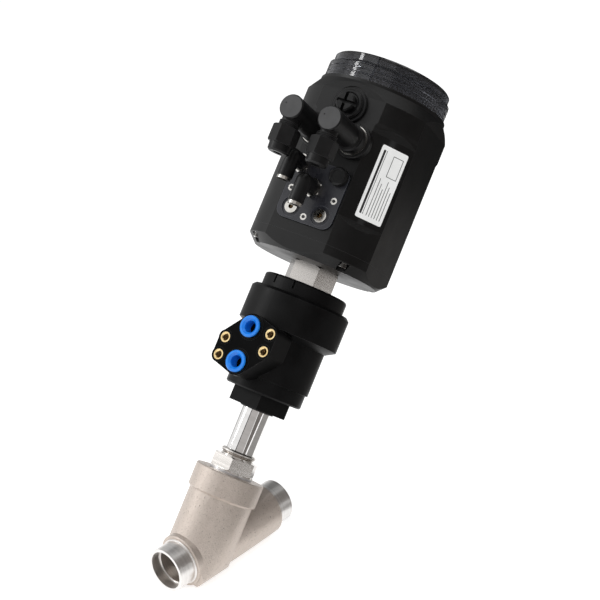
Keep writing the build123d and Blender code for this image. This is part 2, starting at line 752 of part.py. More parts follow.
def release_collet():
    """Blue collet about its own axis; its head stands off the sleeve by its travel."""
    bore, head, stem = AIR_TUBE / 2 + FIT, COLLET_OD / 2, COLLET_NECK_OD / 2
    head_low = PAD_REACH + COLLET_TRAVEL + GAP
    head_top = head_low + COLLET_HEAD
    return turned(
        (bore, head_low - COLLET_LENGTH), (stem, head_low - COLLET_LENGTH), (stem, head_low),
        (head, head_low), (head, head_top - EDGE / 2), (head - EDGE / 2, head_top),
        (bore + 1.5 * EDGE, head_top), (bore, head_top - 1.5 * EDGE),
    )


def pad_inserts():
    """Four threaded brass inserts for a pilot valve."""
    low, high = PAD_REACH - INSERT_LENGTH, PAD_REACH + RIM_RISE / 2
    shape = tube(INSERT_OD, INSERT_THREAD, low, high)
    shape -= turned(
        (0, high), (INSERT_THREAD / 2 + EDGE / 2, high), (INSERT_THREAD / 2, high - EDGE / 2),
        (0, high - EDGE / 2),
    )
    return Compound(children=[pad_at(x, y) * shape for x, y in insert_places()])


def adapter_nut():
    """Stainless hexagon between actuator and positioner."""
    nut = hexagon(NUT_AF, CROWN_TOP, POSITIONER_LOW, crown=1.5 * EDGE)
    nut = Rot(0, 0, NUT_TURN) * nut
    nut += rod(NUT_SPIGOT_OD, CROWN_TOP - NUT_SPIGOT, CROWN_TOP)
    nut += rod(NUT_HEAD_OD, POSITIONER_LOW, POSITIONER_LOW + NUT_HEAD)
    return nut - rod(EXTENSION_OD + 2 * GAP, CROWN_TOP - NUT_SPIGOT, POSITIONER_LOW + NUT_HEAD)


# Positioner ----------------------------------------------------------------------


def flats(width, low, high):
    """Square bar that cuts the four flats of the positioner."""
    return block(width, width, low, high)


def panel_at(side, height, reach=0.0):
    """Place on the front panel, facing outwards; height above the lowest face."""
    return OUTWARD * Pos(side, POSITIONER_LOW + height, reach)


def screw_place(turn):
    return Rot(0, 0, turn) * Pos(SCREW_REACH, 0, POSITIONER_LOW)


def positioner_base():
    outer, corner = POSITIONER_OD / 2, POSITIONER_OD / 2 - BASE_CHAMFER
    low, high = POSITIONER_LOW, HOUSING_LOW
    shape = turned(
        (0, low), (corner, low), (outer, low + BASE_CHAMFER), (outer, high - FIT),
        (0, high - FIT),
    )
    shape &= flats(FLATS, low, high)
    inside = rod(2 * (SCREW_REACH - SCREW_HEAD_OD / 2 - 2 * EDGE), low + BASE_FLOOR, high)
    inside &= flats(FLATS - 2 * HOUSING_WALL, low, high)
    shape -= inside
    shape -= rod(NUT_HEAD_OD + 2 * FIT, low, low + BASE_FLOOR)
    pocket_top = SCREW_SINK + SCREW_HEAD
    pocket = rod(SCREW_HEAD_OD + EDGE, 0, pocket_top)
    pocket += block(2 * SCREW_HEAD_OD, SCREW_HEAD_OD + EDGE, 0, pocket_top, x=SCREW_HEAD_OD)
    pocket += rod(SCREW_SHANK_OD + 2 * FIT, 0, BASE_HEIGHT)
    return shape - at_screws(pocket)


def base_screws():
    """Socket-head screws that hold the base to the housing."""
    low = SCREW_SINK
    head = rod(SCREW_HEAD_OD, low, low + SCREW_HEAD)
    head -= hexagon(SCREW_SOCKET_AF, low, low + SCREW_HEAD / 2)
    screw = head + rod(SCREW_SHANK_OD, low + SCREW_HEAD, low + SCREW_HEAD + SCREW_LENGTH)
    return Compound(children=[screw_place(45 + 90 * n) * screw for n in range(4)])


def housing_outside():
    outer, shoulder, neck_top = POSITIONER_OD / 2, SHOULDER_OD / 2, NECK_TOP_OD / 2
    low, high = HOUSING_TOP - SHOULDER_LOW, HOUSING_TOP - SHOULDER_HIGH
    shape = turned(
        (0, HOUSING_LOW), (outer, HOUSING_LOW), (outer, low), (shoulder, low + 2 * EDGE),
        (shoulder, high), (neck_top, HOUSING_TOP - 2 * EDGE), (neck_top, HOUSING_TOP),
        (0, HOUSING_TOP),
    )
    body = shape & flats(FLATS, HOUSING_LOW, high)
    return body + (shape & flats(SHOULDER_OD, high, HOUSING_TOP) & panel_slope())


def panel_slope():
    """Square pyramid that keeps the flats below the neck and lets it run round above."""
    high = HOUSING_TOP - SHOULDER_HIGH
    lower = Pos(0, 0, high) * Rectangle(FLATS, FLATS)
    upper = Pos(0, 0, HOUSING_TOP) * Rectangle(FLATS + 4 * EDGE, FLATS + 4 * EDGE)
    return loft([lower, upper])


def housing_inside():
    """Hollow with flats like the outside, an inner ledge and a round mouth."""
    bore, ledge = POSITIONER_OD / 2 - HOUSING_WALL, LEDGE_OD / 2
    ledge_low = LEDGE - LEDGE_HEIGHT
    cavity = turned(
        (0, HOUSING_LOW), (bore, HOUSING_LOW), (bore, ledge_low - (bore - ledge)),
        (ledge, ledge_low), (ledge, LEDGE), (0, LEDGE),
    )
    cavity &= flats(FLATS - 2 * HOUSING_WALL, HOUSING_LOW, LEDGE)
    return cavity + rod(CAP_SKIRT_OD + 2 * GAP, LEDGE, HOUSING_TOP)


def at_screws(shape):
    """The same piece at the four base screws, as one solid or more."""
    return Part() + [screw_place(45 + 90 * n) * shape for n in range(4)]


def label_pocket():
    """Flat sunk in one corner of the housing, with sloping ends."""
    flat, wide = POSITIONER_OD / 2 - LABEL_SUNK, POSITIONER_OD / 2
    rise = LABEL_RAMP * (wide - flat)
    low, high = POSITIONER_LOW + LABEL_LOW, POSITIONER_LOW + LABEL_TOP
    side = Polyline(
        (flat, low), (flat, high), (wide, high + rise), (wide, low - rise), close=True
    )
    return Rot(0, 0, LABEL_TURN) * extrude(make_face(Plane.XZ * side), wide / 2, both=True)


def plate_outline(play=0.0):
    height = PLATE_TOP - PLATE_LOW
    return Pos(0, (PLATE_LOW + PLATE_TOP) / 2) * RectangleRounded(
        PLATE_WIDTH + 2 * play, height + 2 * play, PLATE_CORNER
    )


def positioner_housing():
    deep = PANEL - 2 * HOUSING_WALL
    boss_top = BASE_HEIGHT + SCREW_LENGTH
    bosses = at_screws(rod(SCREW_HEAD_OD + 4 * EDGE, BASE_HEIGHT, boss_top))
    shell = housing_outside() - housing_inside() + (housing_outside() & bosses)
    shell -= label_pocket()
    shell -= at_screws(rod(SCREW_SHANK_OD + 2 * FIT, BASE_HEIGHT, boss_top - EDGE))
    for side in (-1, 1):
        shell -= panel_at(side * CABLE_SIDE, CABLE_HEIGHT, deep) * rod(
            CABLE_STUD_OD + 2 * FIT, 0, PANEL
        )
    vent = panel_at(0, VENT_HEIGHT)
    shell -= vent * rod(VENT_STEM_OD + 2 * FIT, deep, PANEL)
    shell -= vent * rod(VENT_SEAT_OD, PANEL, 2 * PANEL)
    shell -= panel_at(0, 0, PLATE_BACK) * extrude(plate_outline(GAP), PANEL)
    window = Pos(0, MANIFOLD_LOW + MANIFOLD_HEIGHT / 2) * Rectangle(
        MANIFOLD_WIDTH + 2 * GAP, MANIFOLD_HEIGHT + 2 * GAP
    )
    return shell - panel_at(0, 0, deep) * extrude(window, PANEL)


def cap():
    """Clear screw cap over the display, ridged around and ribbed for grip."""
    outer, rim, skirt = CAP_OD / 2, CAP_RIM_OD / 2, CAP_SKIRT_OD / 2
    low, seat, step_top = HOUSING_TOP - CAP_SKIRT, HOUSING_TOP + GAP, CAP_TOP - CAP_RIM
    pitch = (step_top - seat - 2 * EDGE) / CAP_RIDGES
    side = []
    for n in range(CAP_RIDGES):
        z = seat + EDGE + n * pitch
        side += [
            (outer, z), (outer, z + pitch * CAP_CREST),
            (outer - CAP_RIDGE, z + pitch * (CAP_CREST + CAP_ROOT) / 2),
            (outer - CAP_RIDGE, z + pitch * CAP_ROOT),
        ]
    outline = [
        (skirt - CAP_WALL, low), (skirt, low), (skirt, seat), (outer, seat), *side,
        (outer, step_top - EDGE), (rim + EDGE / 2, step_top), (rim, step_top + EDGE / 2),
        (rim, CAP_TOP - EDGE), (rim - EDGE, CAP_TOP), (0, CAP_TOP), (0, CAP_TOP - CAP_WALL),
        (skirt - CAP_WALL, CAP_TOP - CAP_WALL),
    ]
    shape = turned(*outline)
    groove = Pos(outer, 0, seat) * Cylinder(CAP_RIDGE, step_top - seat, align=BOTTOM)
    grips = [
        Rot(0, 0, back + CAP_GRIP_START + CAP_GRIP_ANGLE * n) * groove
        for back in (0, 180) for n in range(CAP_GRIPS)
    ]
    return shape - grips


# Front panel pieces -------------------------------------------------------------


def pneumatic_plate():
    plate = extrude(plate_outline(), PLATE_THICK)
    for side in (-1, 1):
        place = Pos(side * AIR_PORT_SIDE, AIR_PORT_HEIGHT)
        plate -= place * rod(AIR_PORT_SINK, PLATE_THICK - EDGE, PLATE_THICK)
        plate -= place * rod(AIR_PORT_OD + 2 * FIT, 0, PLATE_THICK)
    for x, y in (*elbow_places(), (ELBOW_SIDE, BUTTON_HEIGHT)):
        plate -= Pos(x, y) * rod(ELBOW_THREAD_OD + 2 * FIT, 0, PLATE_THICK)
    for x, y in plate_screw_places():
        plate -= Pos(x, y) * rod(PLATE_SCREW_OD + 2 * FIT, EDGE, PLATE_THICK)
    return panel_at(0, 0, PLATE_BACK) * plate


def elbow_places():
    """Side and height of the middle and the side elbow."""
    return [(0, ELBOW_MID_HEIGHT), (-ELBOW_SIDE, ELBOW_SIDE_HEIGHT)]


def plate_screw_places():
    return [
        (0, PLATE_SCREW_LOW), (PLATE_SCREW_SIDE, PLATE_SCREW_HIGH),
        (-PLATE_SCREW_SIDE, PLATE_SCREW_HIGH),
    ]


def plate_screws():
    head = rod(PLATE_SCREW_OD, EDGE, PLATE_THICK) - block(
        PLATE_SCREW_OD, EDGE / 2, PLATE_THICK - EDGE / 2, PLATE_THICK
    )
    return Compound(
        children=[panel_at(x, y, PLATE_BACK) * head for x, y in plate_screw_places()]
    )


def port_inserts():
    """Bright air ports in the plate."""
    shape = tube(AIR_PORT_OD, AIR_PORT_BORE, 0, PLATE_THICK + EDGE / 2)
    return Compound(
        children=[
            panel_at(side * AIR_PORT_SIDE, AIR_PORT_HEIGHT, PLATE_BACK) * shape
            for side in (-1, 1)
        ]
    )


def elbow_nuts():
    """Bright hexagons that the swivel elbows turn in."""
    low, high = PLATE_THICK, PLATE_THICK + ELBOW_NUT
    nut = hexagon(ELBOW_NUT_AF, low, high, crown=EDGE / 2) + rod(ELBOW_THREAD_OD, 0, low)
    nut -= rod(ELBOW_SPIGOT_OD + 2 * FIT, 0, high)
    return Compound(children=[panel_at(x, y, PLATE_BACK) * nut for x, y in elbow_places()])


def elbow():
    """Black swivel elbow with its tube socket pointing down the stem."""
    low = PLATE_THICK + ELBOW_NUT + GAP
    reach = ELBOW_REACH - PLATE_BACK
    arm = rod(ELBOW_OD, low, reach) + rod(ELBOW_SPIGOT_OD, EDGE, low)
    socket = Pos(0, 0, reach) * Rot(90, 0, 0) * rod(ELBOW_OD, 0, ELBOW_DROP)
    knee = Pos(0, 0, reach) * Sphere(ELBOW_OD / 2)
    hollow = Pos(0, 0, reach) * Rot(90, 0, 0) * rod(ELBOW_RING_OD + 2 * FIT, EDGE, ELBOW_DROP)
    return arm + socket + knee - hollow


def elbow_ring():
    """Bright ring around the mouth of an elbow."""
    reach = ELBOW_REACH - PLATE_BACK
    ring = tube(ELBOW_RING_OD, ELBOW_BORE, EDGE, ELBOW_DROP + ELBOW_RING)
    return Pos(0, 0, reach) * Rot(90, 0, 0) * ring


def blanking_plug():
    """Round black plug in the third port."""
    face, radius = PLATE_THICK, BUTTON_OD / 2
    shape = turned(
        (0, 0), (ELBOW_THREAD_OD / 2, 0), (ELBOW_THREAD_OD / 2, face), (radius, face),
        (radius, face + BUTTON_RISE - EDGE), (radius - EDGE, face + BUTTON_RISE),
        (radius - 2 * EDGE, face + BUTTON_RISE), (radius - 2 * EDGE, face + BUTTON_RISE - EDGE / 2),
        (0, face + BUTTON_RISE - EDGE / 2),
    )
    return panel_at(ELBOW_SIDE, BUTTON_HEIGHT, PLATE_BACK) * shape


def vent_plug():
    """Round plug with a crossed slot, screwed through the front panel."""
    stem, flange = VENT_STEM_OD / 2, VENT_OD / 2
    disc, hub = VENT_DISC_OD / 2, VENT_HUB_OD / 2
    low = PANEL + GAP
    step = low + VENT_FLANGE
    face = step + VENT_DISC
    top = face + VENT_HUB
    shape = turned(
        (0, PANEL - HOUSING_WALL), (stem, PANEL - HOUSING_WALL), (stem, low), (flange, low),
        (flange, step - EDGE / 2), (flange - EDGE / 2, step), (disc, step), (disc, face - EDGE),
        (disc - EDGE, face), (disc - 2 * EDGE, face), (hub + EDGE, face - EDGE),
        (hub, face - EDGE), (hub, top - EDGE), (hub - EDGE, top), (0, top),
    )
    for turn in (0, 90):
        shape -= Rot(0, 0, turn) * block(2 * flange, VENT_SLOT, face, top)
    return panel_at(0, VENT_HEIGHT) * shape


def both_cables(shape):
    """The same piece at the left and the right cable connector."""
    return Compound(
        children=[panel_at(side * CABLE_SIDE, CABLE_HEIGHT) * shape for side in (-1, 1)]
    )


def cable_bases():
    """Flanged studs of the cable connectors in the panel."""
    low, high = PANEL, PANEL + CABLE_BASE
    soft = EDGE / 2
    stud = CABLE_STUD_OD / 2
    flange = CABLE_BASE_OD / 2
    bore = GLAND_THREAD_OD / 2 + FIT
    base = turned(
        (bore, low - 2 * HOUSING_WALL), (stud, low - 2 * HOUSING_WALL), (stud, low),
        (flange, low), (flange, high - soft), (flange - soft, high), (bore, high),
    )
    return both_cables(base)


def cable_washers():
    """Bright washers between the bases and the connector bodies."""
    low = PANEL + CABLE_BASE
    washer = tube(CABLE_ROOT_OD + EDGE, GLAND_THREAD_OD + 2 * FIT, low, low + CABLE_WASHER)
    return both_cables(washer)


def cable_body():
    """Angled connector body: barrel along the panel normal, neck down the stem."""
    low = PANEL + CABLE_BASE + CABLE_WASHER + GAP
    root, barrel, top = CABLE_ROOT_OD / 2, CABLE_BODY_OD / 2, CABLE_REACH
    soft = 0.8 * EDGE
    shape = turned(
        (0, PANEL), (GLAND_THREAD_OD / 2, PANEL), (GLAND_THREAD_OD / 2, low), (root, low),
        (root, low + CABLE_ROOT), (root - soft, low + CABLE_ROOT + soft),
        (barrel + soft, low + CABLE_ROOT + 2 * soft), (barrel, low + CABLE_ROOT + 4 * soft),
        (barrel, top - soft), (barrel - soft, top), (0, top),
    )
    down = Pos(0, 0, GLAND_REACH) * Rot(90, 0, 0)
    shape += down * rod(GLAND_NECK_OD, 0, GLAND_NECK_END)
    shape += down * rod(GLAND_THREAD_OD, 0, GLAND_NECK_END + GLAND_HEX)
    shape -= down * rod(CABLE_HOLE, GLAND_NECK_END - EDGE, GLAND_NECK_END + GLAND_HEX)
    dimple = Pos(-barrel / 2, barrel / 6, top) * rod(EDGE, -EDGE / 2, EDGE)
    return shape - dimple


def gland_nut():
    """Hexagon nut with a round end that grips the cable."""
    low = GLAND_NECK_END + GAP
    high = low + GLAND_HEX
    radius, small, bore = GLAND_AF / 2, GLAND_RING_OD / 2, CABLE_HOLE / 2
    nut = hexagon(GLAND_AF, low, high, crown=EDGE)
    nut += turned(
        (0, high), (radius - EDGE / 2, high), (small, high + GLAND_RING - EDGE),
        (small - EDGE, high + GLAND_RING), (0, high + GLAND_RING),
    )
    nut -= rod(GLAND_THREAD_OD + 2 * FIT, low, high + GAP)
    return nut - rod(2 * bore, low, high + GLAND_RING)


# Inside the positioner -----------------------------------------------------------


def air_manifold():
    """Block behind the plate that carries the pilot valves."""
    body = Pos(0, MANIFOLD_LOW + MANIFOLD_HEIGHT / 2) * Rectangle(MANIFOLD_WIDTH, MANIFOLD_HEIGHT)
    shape = extrude(body, MANIFOLD_DEPTH)
    for side in (-1, 1):
        shape -= Pos(side * AIR_PORT_SIDE, AIR_PORT_HEIGHT) * rod(
            AIR_PORT_BORE, MANIFOLD_DEPTH / 2, MANIFOLD_DEPTH
        )
    return panel_at(0, 0, PLATE_BACK - MANIFOLD_DEPTH) * shape


def pilot_valves():
    """Two small solenoid valves on the back of the manifold."""
    middle = MANIFOLD_LOW + MANIFOLD_HEIGHT / 2
    side = (MANIFOLD_WIDTH - PILOT_WIDTH) / 2
    back = PLATE_BACK - MANIFOLD_DEPTH - PILOT_DEPTH
    shape = extrude(Rectangle(PILOT_WIDTH, PILOT_HEIGHT), PILOT_DEPTH)
    return Compound(
        children=[panel_at(s * side, middle, back) * shape for s in (-1, 1)]
    )


def travel_sensor():
    """Sensor rail between the manifold and the magnet ring."""
    back = TARGET_OD / 2 + SENSOR_CLEAR
    depth = PLATE_BACK - MANIFOLD_DEPTH - back
    middle = MANIFOLD_LOW + MANIFOLD_HEIGHT / 2
    return panel_at(0, middle, back) * extrude(Rectangle(SENSOR_WIDTH, MANIFOLD_HEIGHT), depth)


def circuit_board():
    """Main board, standing on the base floor behind the stem."""
    low = POSITIONER_LOW + BASE_FLOOR
    return block(BOARD_THICK, MAIN_BOARD_WIDTH, low, low + MAIN_BOARD_HEIGHT, x=MAIN_BOARD_X)


def display_board():
    """Round board on the housing's ledge, under the fascia."""
    return rod(CAP_SKIRT_OD, LEDGE, LEDGE + BOARD_THICK) & flats(
        FLATS - 2 * HOUSING_WALL - 2 * GAP, LEDGE, LEDGE + BOARD_THICK
    )


def key_places():
    return [
        (KEY_OFFSET, (n - (KEY_COUNT - 1) / 2) * KEY_SPACING) for n in range(KEY_COUNT)
    ]


def display_fascia():
    """Cup over the display board, with a window and four key holes."""
    shape = rod(FASCIA_OD, FASCIA_LOW, FASCIA_TOP)
    shape -= rod(FASCIA_OD - 2 * FASCIA_WALL, FASCIA_LOW, FASCIA_TOP - FASCIA_WALL)
    window = block(
        SCREEN_DEPTH - SCREEN_FRAME, SCREEN_WIDTH - SCREEN_FRAME, FASCIA_LOW, FASCIA_TOP,
        x=SCREEN_OFFSET,
    )
    shape -= window
    for x, y in key_places():
        shape -= Pos(x, y, 0) * rod(KEY_OD + 4 * FIT, FASCIA_LOW, FASCIA_TOP)
    return shape


def screen():
    """Display module under the fascia's window."""
    high = FASCIA_TOP - FASCIA_WALL
    return block(SCREEN_DEPTH, SCREEN_WIDTH, high - SCREEN_THICK, high, x=SCREEN_OFFSET)


def key():
    """Push key about its own axis: stem, flange under the fascia and cap."""
    under = FASCIA_TOP - FASCIA_WALL - GAP
    foot = FASCIA_LOW + KEY_TRAVEL + GAP
    top = FASCIA_TOP + KEY_RISE
    radius, flange, stem = KEY_OD / 2, KEY_FLANGE_OD / 2, KEY_STEM_OD / 2
    return turned(
        (0, foot), (stem, foot), (stem, under - KEY_FLANGE), (flange, under - KEY_FLANGE),
        (flange, under), (radius, under), (radius, top - EDGE / 2), (radius - EDGE / 2, top),
        (0, top),
    )


def main():
    os.makedirs("parts", exist_ok=True)

    write("valve_body", valve_body())
    write("inlet_weld_end", weld_end())
    write("outlet_weld_end", weld_end(), Pos(BODY_LENGTH, 0, 0) * Rot(0, 0, 180))
    write("bonnet_gasket", bonnet_gasket(), STEM)
    write("bonnet", bonnet(), STEM)
    write("guide_bush", guide_bush(), STEM)
    write("packing_spring", packing_spring(), STEM)
    write("packing_rings", packing_rings(), STEM)
    write("packing_gland", packing_gland(), STEM)
    write("column_tube", column_tube(), STEM)
    write("column_nut", column_nut(), STEM)

    write("spindle", spindle(), STEM)
    write("plug_disc", plug_disc(), STEM)
    write("seat_seal", seat_seal(), STEM)
    write("plug_nut", plug_nut(), STEM)
    write("piston", piston(), STEM)
    write("piston_seal", piston_seal(), STEM)
    write("piston_nut", piston_nut(), STEM)
    write("stem_extension", stem_extension(), STEM)
    write("travel_target", travel_target(), STEM)

    write("actuator_housing", actuator_housing(), ACTUATOR)
    write("cover_ring", cover_ring(), ACTUATOR)
    write("actuator_cover", actuator_cover(), ACTUATOR)
    write("crown_ring", crown_ring(), ACTUATOR)
    write("port_sleeves", port_sleeves(), ACTUATOR)
    for name, (x, y) in zip(("lower", "upper"), port_places()):
        write(f"{name}_release_collet", pad_at(x, y) * release_collet(), ACTUATOR)
    write("pad_inserts", pad_inserts(), ACTUATOR)
    write("adapter_nut", adapter_nut(), STEM)

    write("positioner_base", positioner_base(), POSITIONER)
    write("base_screws", base_screws(), POSITIONER)
    write("positioner_housing", positioner_housing(), POSITIONER)
    write("cap", cap(), POSITIONER)

    write("pneumatic_plate", pneumatic_plate(), POSITIONER)
    write("plate_screws", plate_screws(), POSITIONER)
    write("port_inserts", port_inserts(), POSITIONER)
    write("elbow_nuts", elbow_nuts(), POSITIONER)
    for name, (x, y) in zip(("middle", "side"), elbow_places()):
        place = POSITIONER * panel_at(x, y, PLATE_BACK)
        write(f"{name}_elbow", elbow(), place)
        write(f"{name}_elbow_ring", elbow_ring(), place)
    write("blanking_plug", blanking_plug(), POSITIONER)
    write("vent_plug", vent_plug(), POSITIONER)
    write("cable_bases", cable_bases(), POSITIONER)
    write("cable_washers", cable_washers(), POSITIONER)
    for name, side in (("left", -1), ("right", 1)):
        place = POSITIONER * panel_at(side * CABLE_SIDE, CABLE_HEIGHT)
        write(f"{name}_cable_body", cable_body(), place)
        down = Pos(0, 0, GLAND_REACH) * Rot(90, 0, 0)
        write(f"{name}_gland_nut", gland_nut(), place * down)

    write("air_manifold", air_manifold(), POSITIONER)
    write("pilot_valves", pilot_valves(), POSITIONER)
    write("travel_sensor", travel_sensor(), POSITIONER)
    write("circuit_board", circuit_board(), POSITIONER)
    write("display_board", display_board(), POSITIONER)
    write("display_fascia", display_fascia(), POSITIONER)
    write("screen", screen(), POSITIONER)
    for n, (x, y) in enumerate(key_places()):
        write(f"key_{n + 1}", key(), POSITIONER * Pos(x, y, 0))


if __name__ == "__main__":
    main()
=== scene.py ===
# %% [markdown]
# # Dressing an angle seat valve
#
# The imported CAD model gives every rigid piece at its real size. This lesson gives the
# pieces their finish, adds the small things that a designer leaves out of the solids,
# and lights the valve as in a small product studio. Blender works in metres; a length
# in millimetres is multiplied by MM.

import json
from math import cos, pi, radians, sin

import bmesh
import bpy
from mathutils import Matrix, Vector
from mathutils.bvhtree import BVHTree


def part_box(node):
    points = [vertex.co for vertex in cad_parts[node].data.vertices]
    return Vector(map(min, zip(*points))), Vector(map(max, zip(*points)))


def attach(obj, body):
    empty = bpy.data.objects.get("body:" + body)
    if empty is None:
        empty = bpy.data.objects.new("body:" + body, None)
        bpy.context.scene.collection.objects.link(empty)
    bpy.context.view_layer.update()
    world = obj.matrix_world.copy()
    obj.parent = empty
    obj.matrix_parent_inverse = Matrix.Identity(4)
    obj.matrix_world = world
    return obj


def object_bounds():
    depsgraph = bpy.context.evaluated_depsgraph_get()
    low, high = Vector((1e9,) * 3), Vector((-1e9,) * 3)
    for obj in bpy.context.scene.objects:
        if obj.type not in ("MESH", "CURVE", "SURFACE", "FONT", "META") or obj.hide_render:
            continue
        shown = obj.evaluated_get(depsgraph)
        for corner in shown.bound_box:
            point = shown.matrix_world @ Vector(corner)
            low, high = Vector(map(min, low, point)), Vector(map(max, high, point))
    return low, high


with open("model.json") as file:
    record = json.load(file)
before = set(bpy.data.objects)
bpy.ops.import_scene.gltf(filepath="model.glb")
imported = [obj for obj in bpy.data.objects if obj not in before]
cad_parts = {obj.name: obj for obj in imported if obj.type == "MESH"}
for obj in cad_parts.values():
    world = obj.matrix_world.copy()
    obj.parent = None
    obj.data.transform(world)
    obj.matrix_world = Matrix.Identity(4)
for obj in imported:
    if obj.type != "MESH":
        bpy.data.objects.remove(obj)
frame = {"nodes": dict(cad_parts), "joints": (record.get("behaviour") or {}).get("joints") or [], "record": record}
cad_low, cad_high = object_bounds()
NODES = frame["nodes"]

# %% [markdown]
# ## Where things are
#
# Everything above the pipe is built around one inclined line, the stem. Its direction
# is the axis of the joint that lifts the plug, and the pad and the panel face along the
# axes of their own joints. Reading the directions from the joints keeps this file right
# when the angle of the stem changes.

# %% Directions and centre lines
MM = 0.001
JOINTS = {joint["name"]: joint for joint in frame["joints"]}
MOUNTS = {mount["name"]: mount for mount in frame["record"]["mounts"]}
UP_STEM = Vector(JOINTS["stem_lift"]["axis"]).normalized()
PAD_OUT = -Vector(JOINTS["upper_collet_press"]["axis"]).normalized()
PANEL_OUT = Vector(JOINTS["middle_fitting_swivel"]["axis"]).normalized()
SWIVEL = Vector(JOINTS["actuator_swivel"]["pos_m"])
CROSSING = SWIVEL - UP_STEM * (SWIVEL.z / UP_STEM.z)


def place(point, out, up=UP_STEM):
    """A frame at point with Z out of the surface and Y as near to up as it gets."""
    z = Vector(out).normalized()
    x = Vector(up).cross(z).normalized()
    y = z.cross(x)
    matrix = Matrix((x, y, z)).transposed().to_4x4()
    matrix.translation = Vector(point)
    return matrix


def around_stem(out, turn):
    """The direction out, turned about the stem by some degrees."""
    return Matrix.Rotation(radians(turn), 3, UP_STEM) @ Vector(out)


print("stem crosses the pipe at", [round(v, 4) for v in CROSSING])

# %% [markdown]
# ## Small tools
#
# A material is a tree of nodes. Three short helpers keep the trees readable: one adds a
# node and fills in its values, one does a sum on sockets or numbers, and one starts a
# node group with named sockets.

# %% Node helpers
# A Mix node keeps a pair of inputs for each kind of value. These are their places.
MIX_FACTOR = 0
MIX_NUMBERS = (2, 3)
MIX_COLOURS = (6, 7)
MIX_COLOUR_RESULT = 2


def add(tree, kind, **values):
    """Add a node. Names in capitals are inputs, the others are the node's own settings."""
    node = tree.nodes.new(kind)
    for name, value in values.items():
        if name[0].isupper():
            node.inputs[name.replace("_", " ")].default_value = value
        else:
            setattr(node, name, value)
    return node


def math_node(tree, operation, first, second=0.0):
    """A Math node on two sockets or numbers; gives its output."""
    node = tree.nodes.new("ShaderNodeMath")
    node.operation = operation
    for index, value in enumerate((first, second)):
        if isinstance(value, bpy.types.NodeSocket):
            tree.links.new(value, node.inputs[index])
        else:
            node.inputs[index].default_value = value
    return node.outputs[0]


def new_group(name, inputs, outputs):
    """A shader node group with named number, colour or vector sockets."""
    group = bpy.data.node_groups.new(name, "ShaderNodeTree")
    kinds = {"f": "NodeSocketFloat", "c": "NodeSocketColor", "v": "NodeSocketVector"}
    for title, kind, value in inputs:
        socket = group.interface.new_socket(title, in_out="INPUT", socket_type=kinds[kind])
        socket.default_value = value
    for title, kind in outputs:
        group.interface.new_socket(title, in_out="OUTPUT", socket_type=kinds[kind])
    start = group.nodes.new("NodeGroupInput")
    end = group.nodes.new("NodeGroupOutput")
    return group, start.outputs, end.inputs


print("node helpers: add, math_node, new_group")

# %% [markdown]
# ## Effects that several finishes share
#
# Real surfaces differ by a few habits: a moulded or cast skin has grain, a handled edge
# is a little brighter, partly from wear and partly as a painted highlight, and a turned
# face has fine lines around its axis. Each habit is one node group, so every material can
# use it with its own values.
#
# Grain comes first. A fine noise gives the bumps, and its highest spots give the specks
# of a cast skin. A second, slower noise drifts the tone, because no moulding or casting
# is evenly grey. Sizes are in millimetres.

# %% Grain: fine bumps, a slow change of tone, and specks
SPECK_START, SPECK_FULL = 0.60, 0.72


def make_grain():
    """Height and specks from a fine noise, tone from a slow one."""
    group, given, out = new_group(
        "surface_grain",
        [("Size", "f", 0.6), ("Patch Size", "f", 14.0)],
        [("Height", "f"), ("Tone", "f"), ("Specks", "f")],
    )
    where = add(group, "ShaderNodeTexCoord").outputs["Object"]
    fine = add(group, "ShaderNodeTexNoise", Detail=3.0, Roughness=0.6)
    slow = add(group, "ShaderNodeTexNoise", Detail=2.0, Roughness=0.5)
    for noise, size in ((fine, "Size"), (slow, "Patch Size")):
        per_metre = math_node(group, "DIVIDE", 1 / MM, given[size])
        group.links.new(where, noise.inputs["Vector"])
        group.links.new(per_metre, noise.inputs["Scale"])
    specks = add(group, "ShaderNodeMapRange", From_Min=SPECK_START, From_Max=SPECK_FULL)
    group.links.new(fine.outputs["Fac"], specks.inputs["Value"])
    group.links.new(fine.outputs["Fac"], out["Height"])
    group.links.new(slow.outputs["Fac"], out["Tone"])
    group.links.new(specks.outputs[0], out["Specks"])
    return group


GRAIN = make_grain()
print("grain group has", len(GRAIN.nodes), "nodes")

# %% [markdown]
# ### Edges
#
# The Bevel node bends the surface direction near an edge. Where that bent direction
# differs from the true one, there is an edge, and the difference becomes the mask. The
# paler tint it gives an edge is partly wear and partly a painted highlight, standing for
# the light a rounded edge would catch. A noise breaks it up, because wear is never even.

# %% Edge mask: where a rounded edge would catch the light
EDGE_GAIN = 9.0
BREAKUP_SCALE = 240.0
BREAKUP_START, BREAKUP_GAIN = 0.35, 2.2


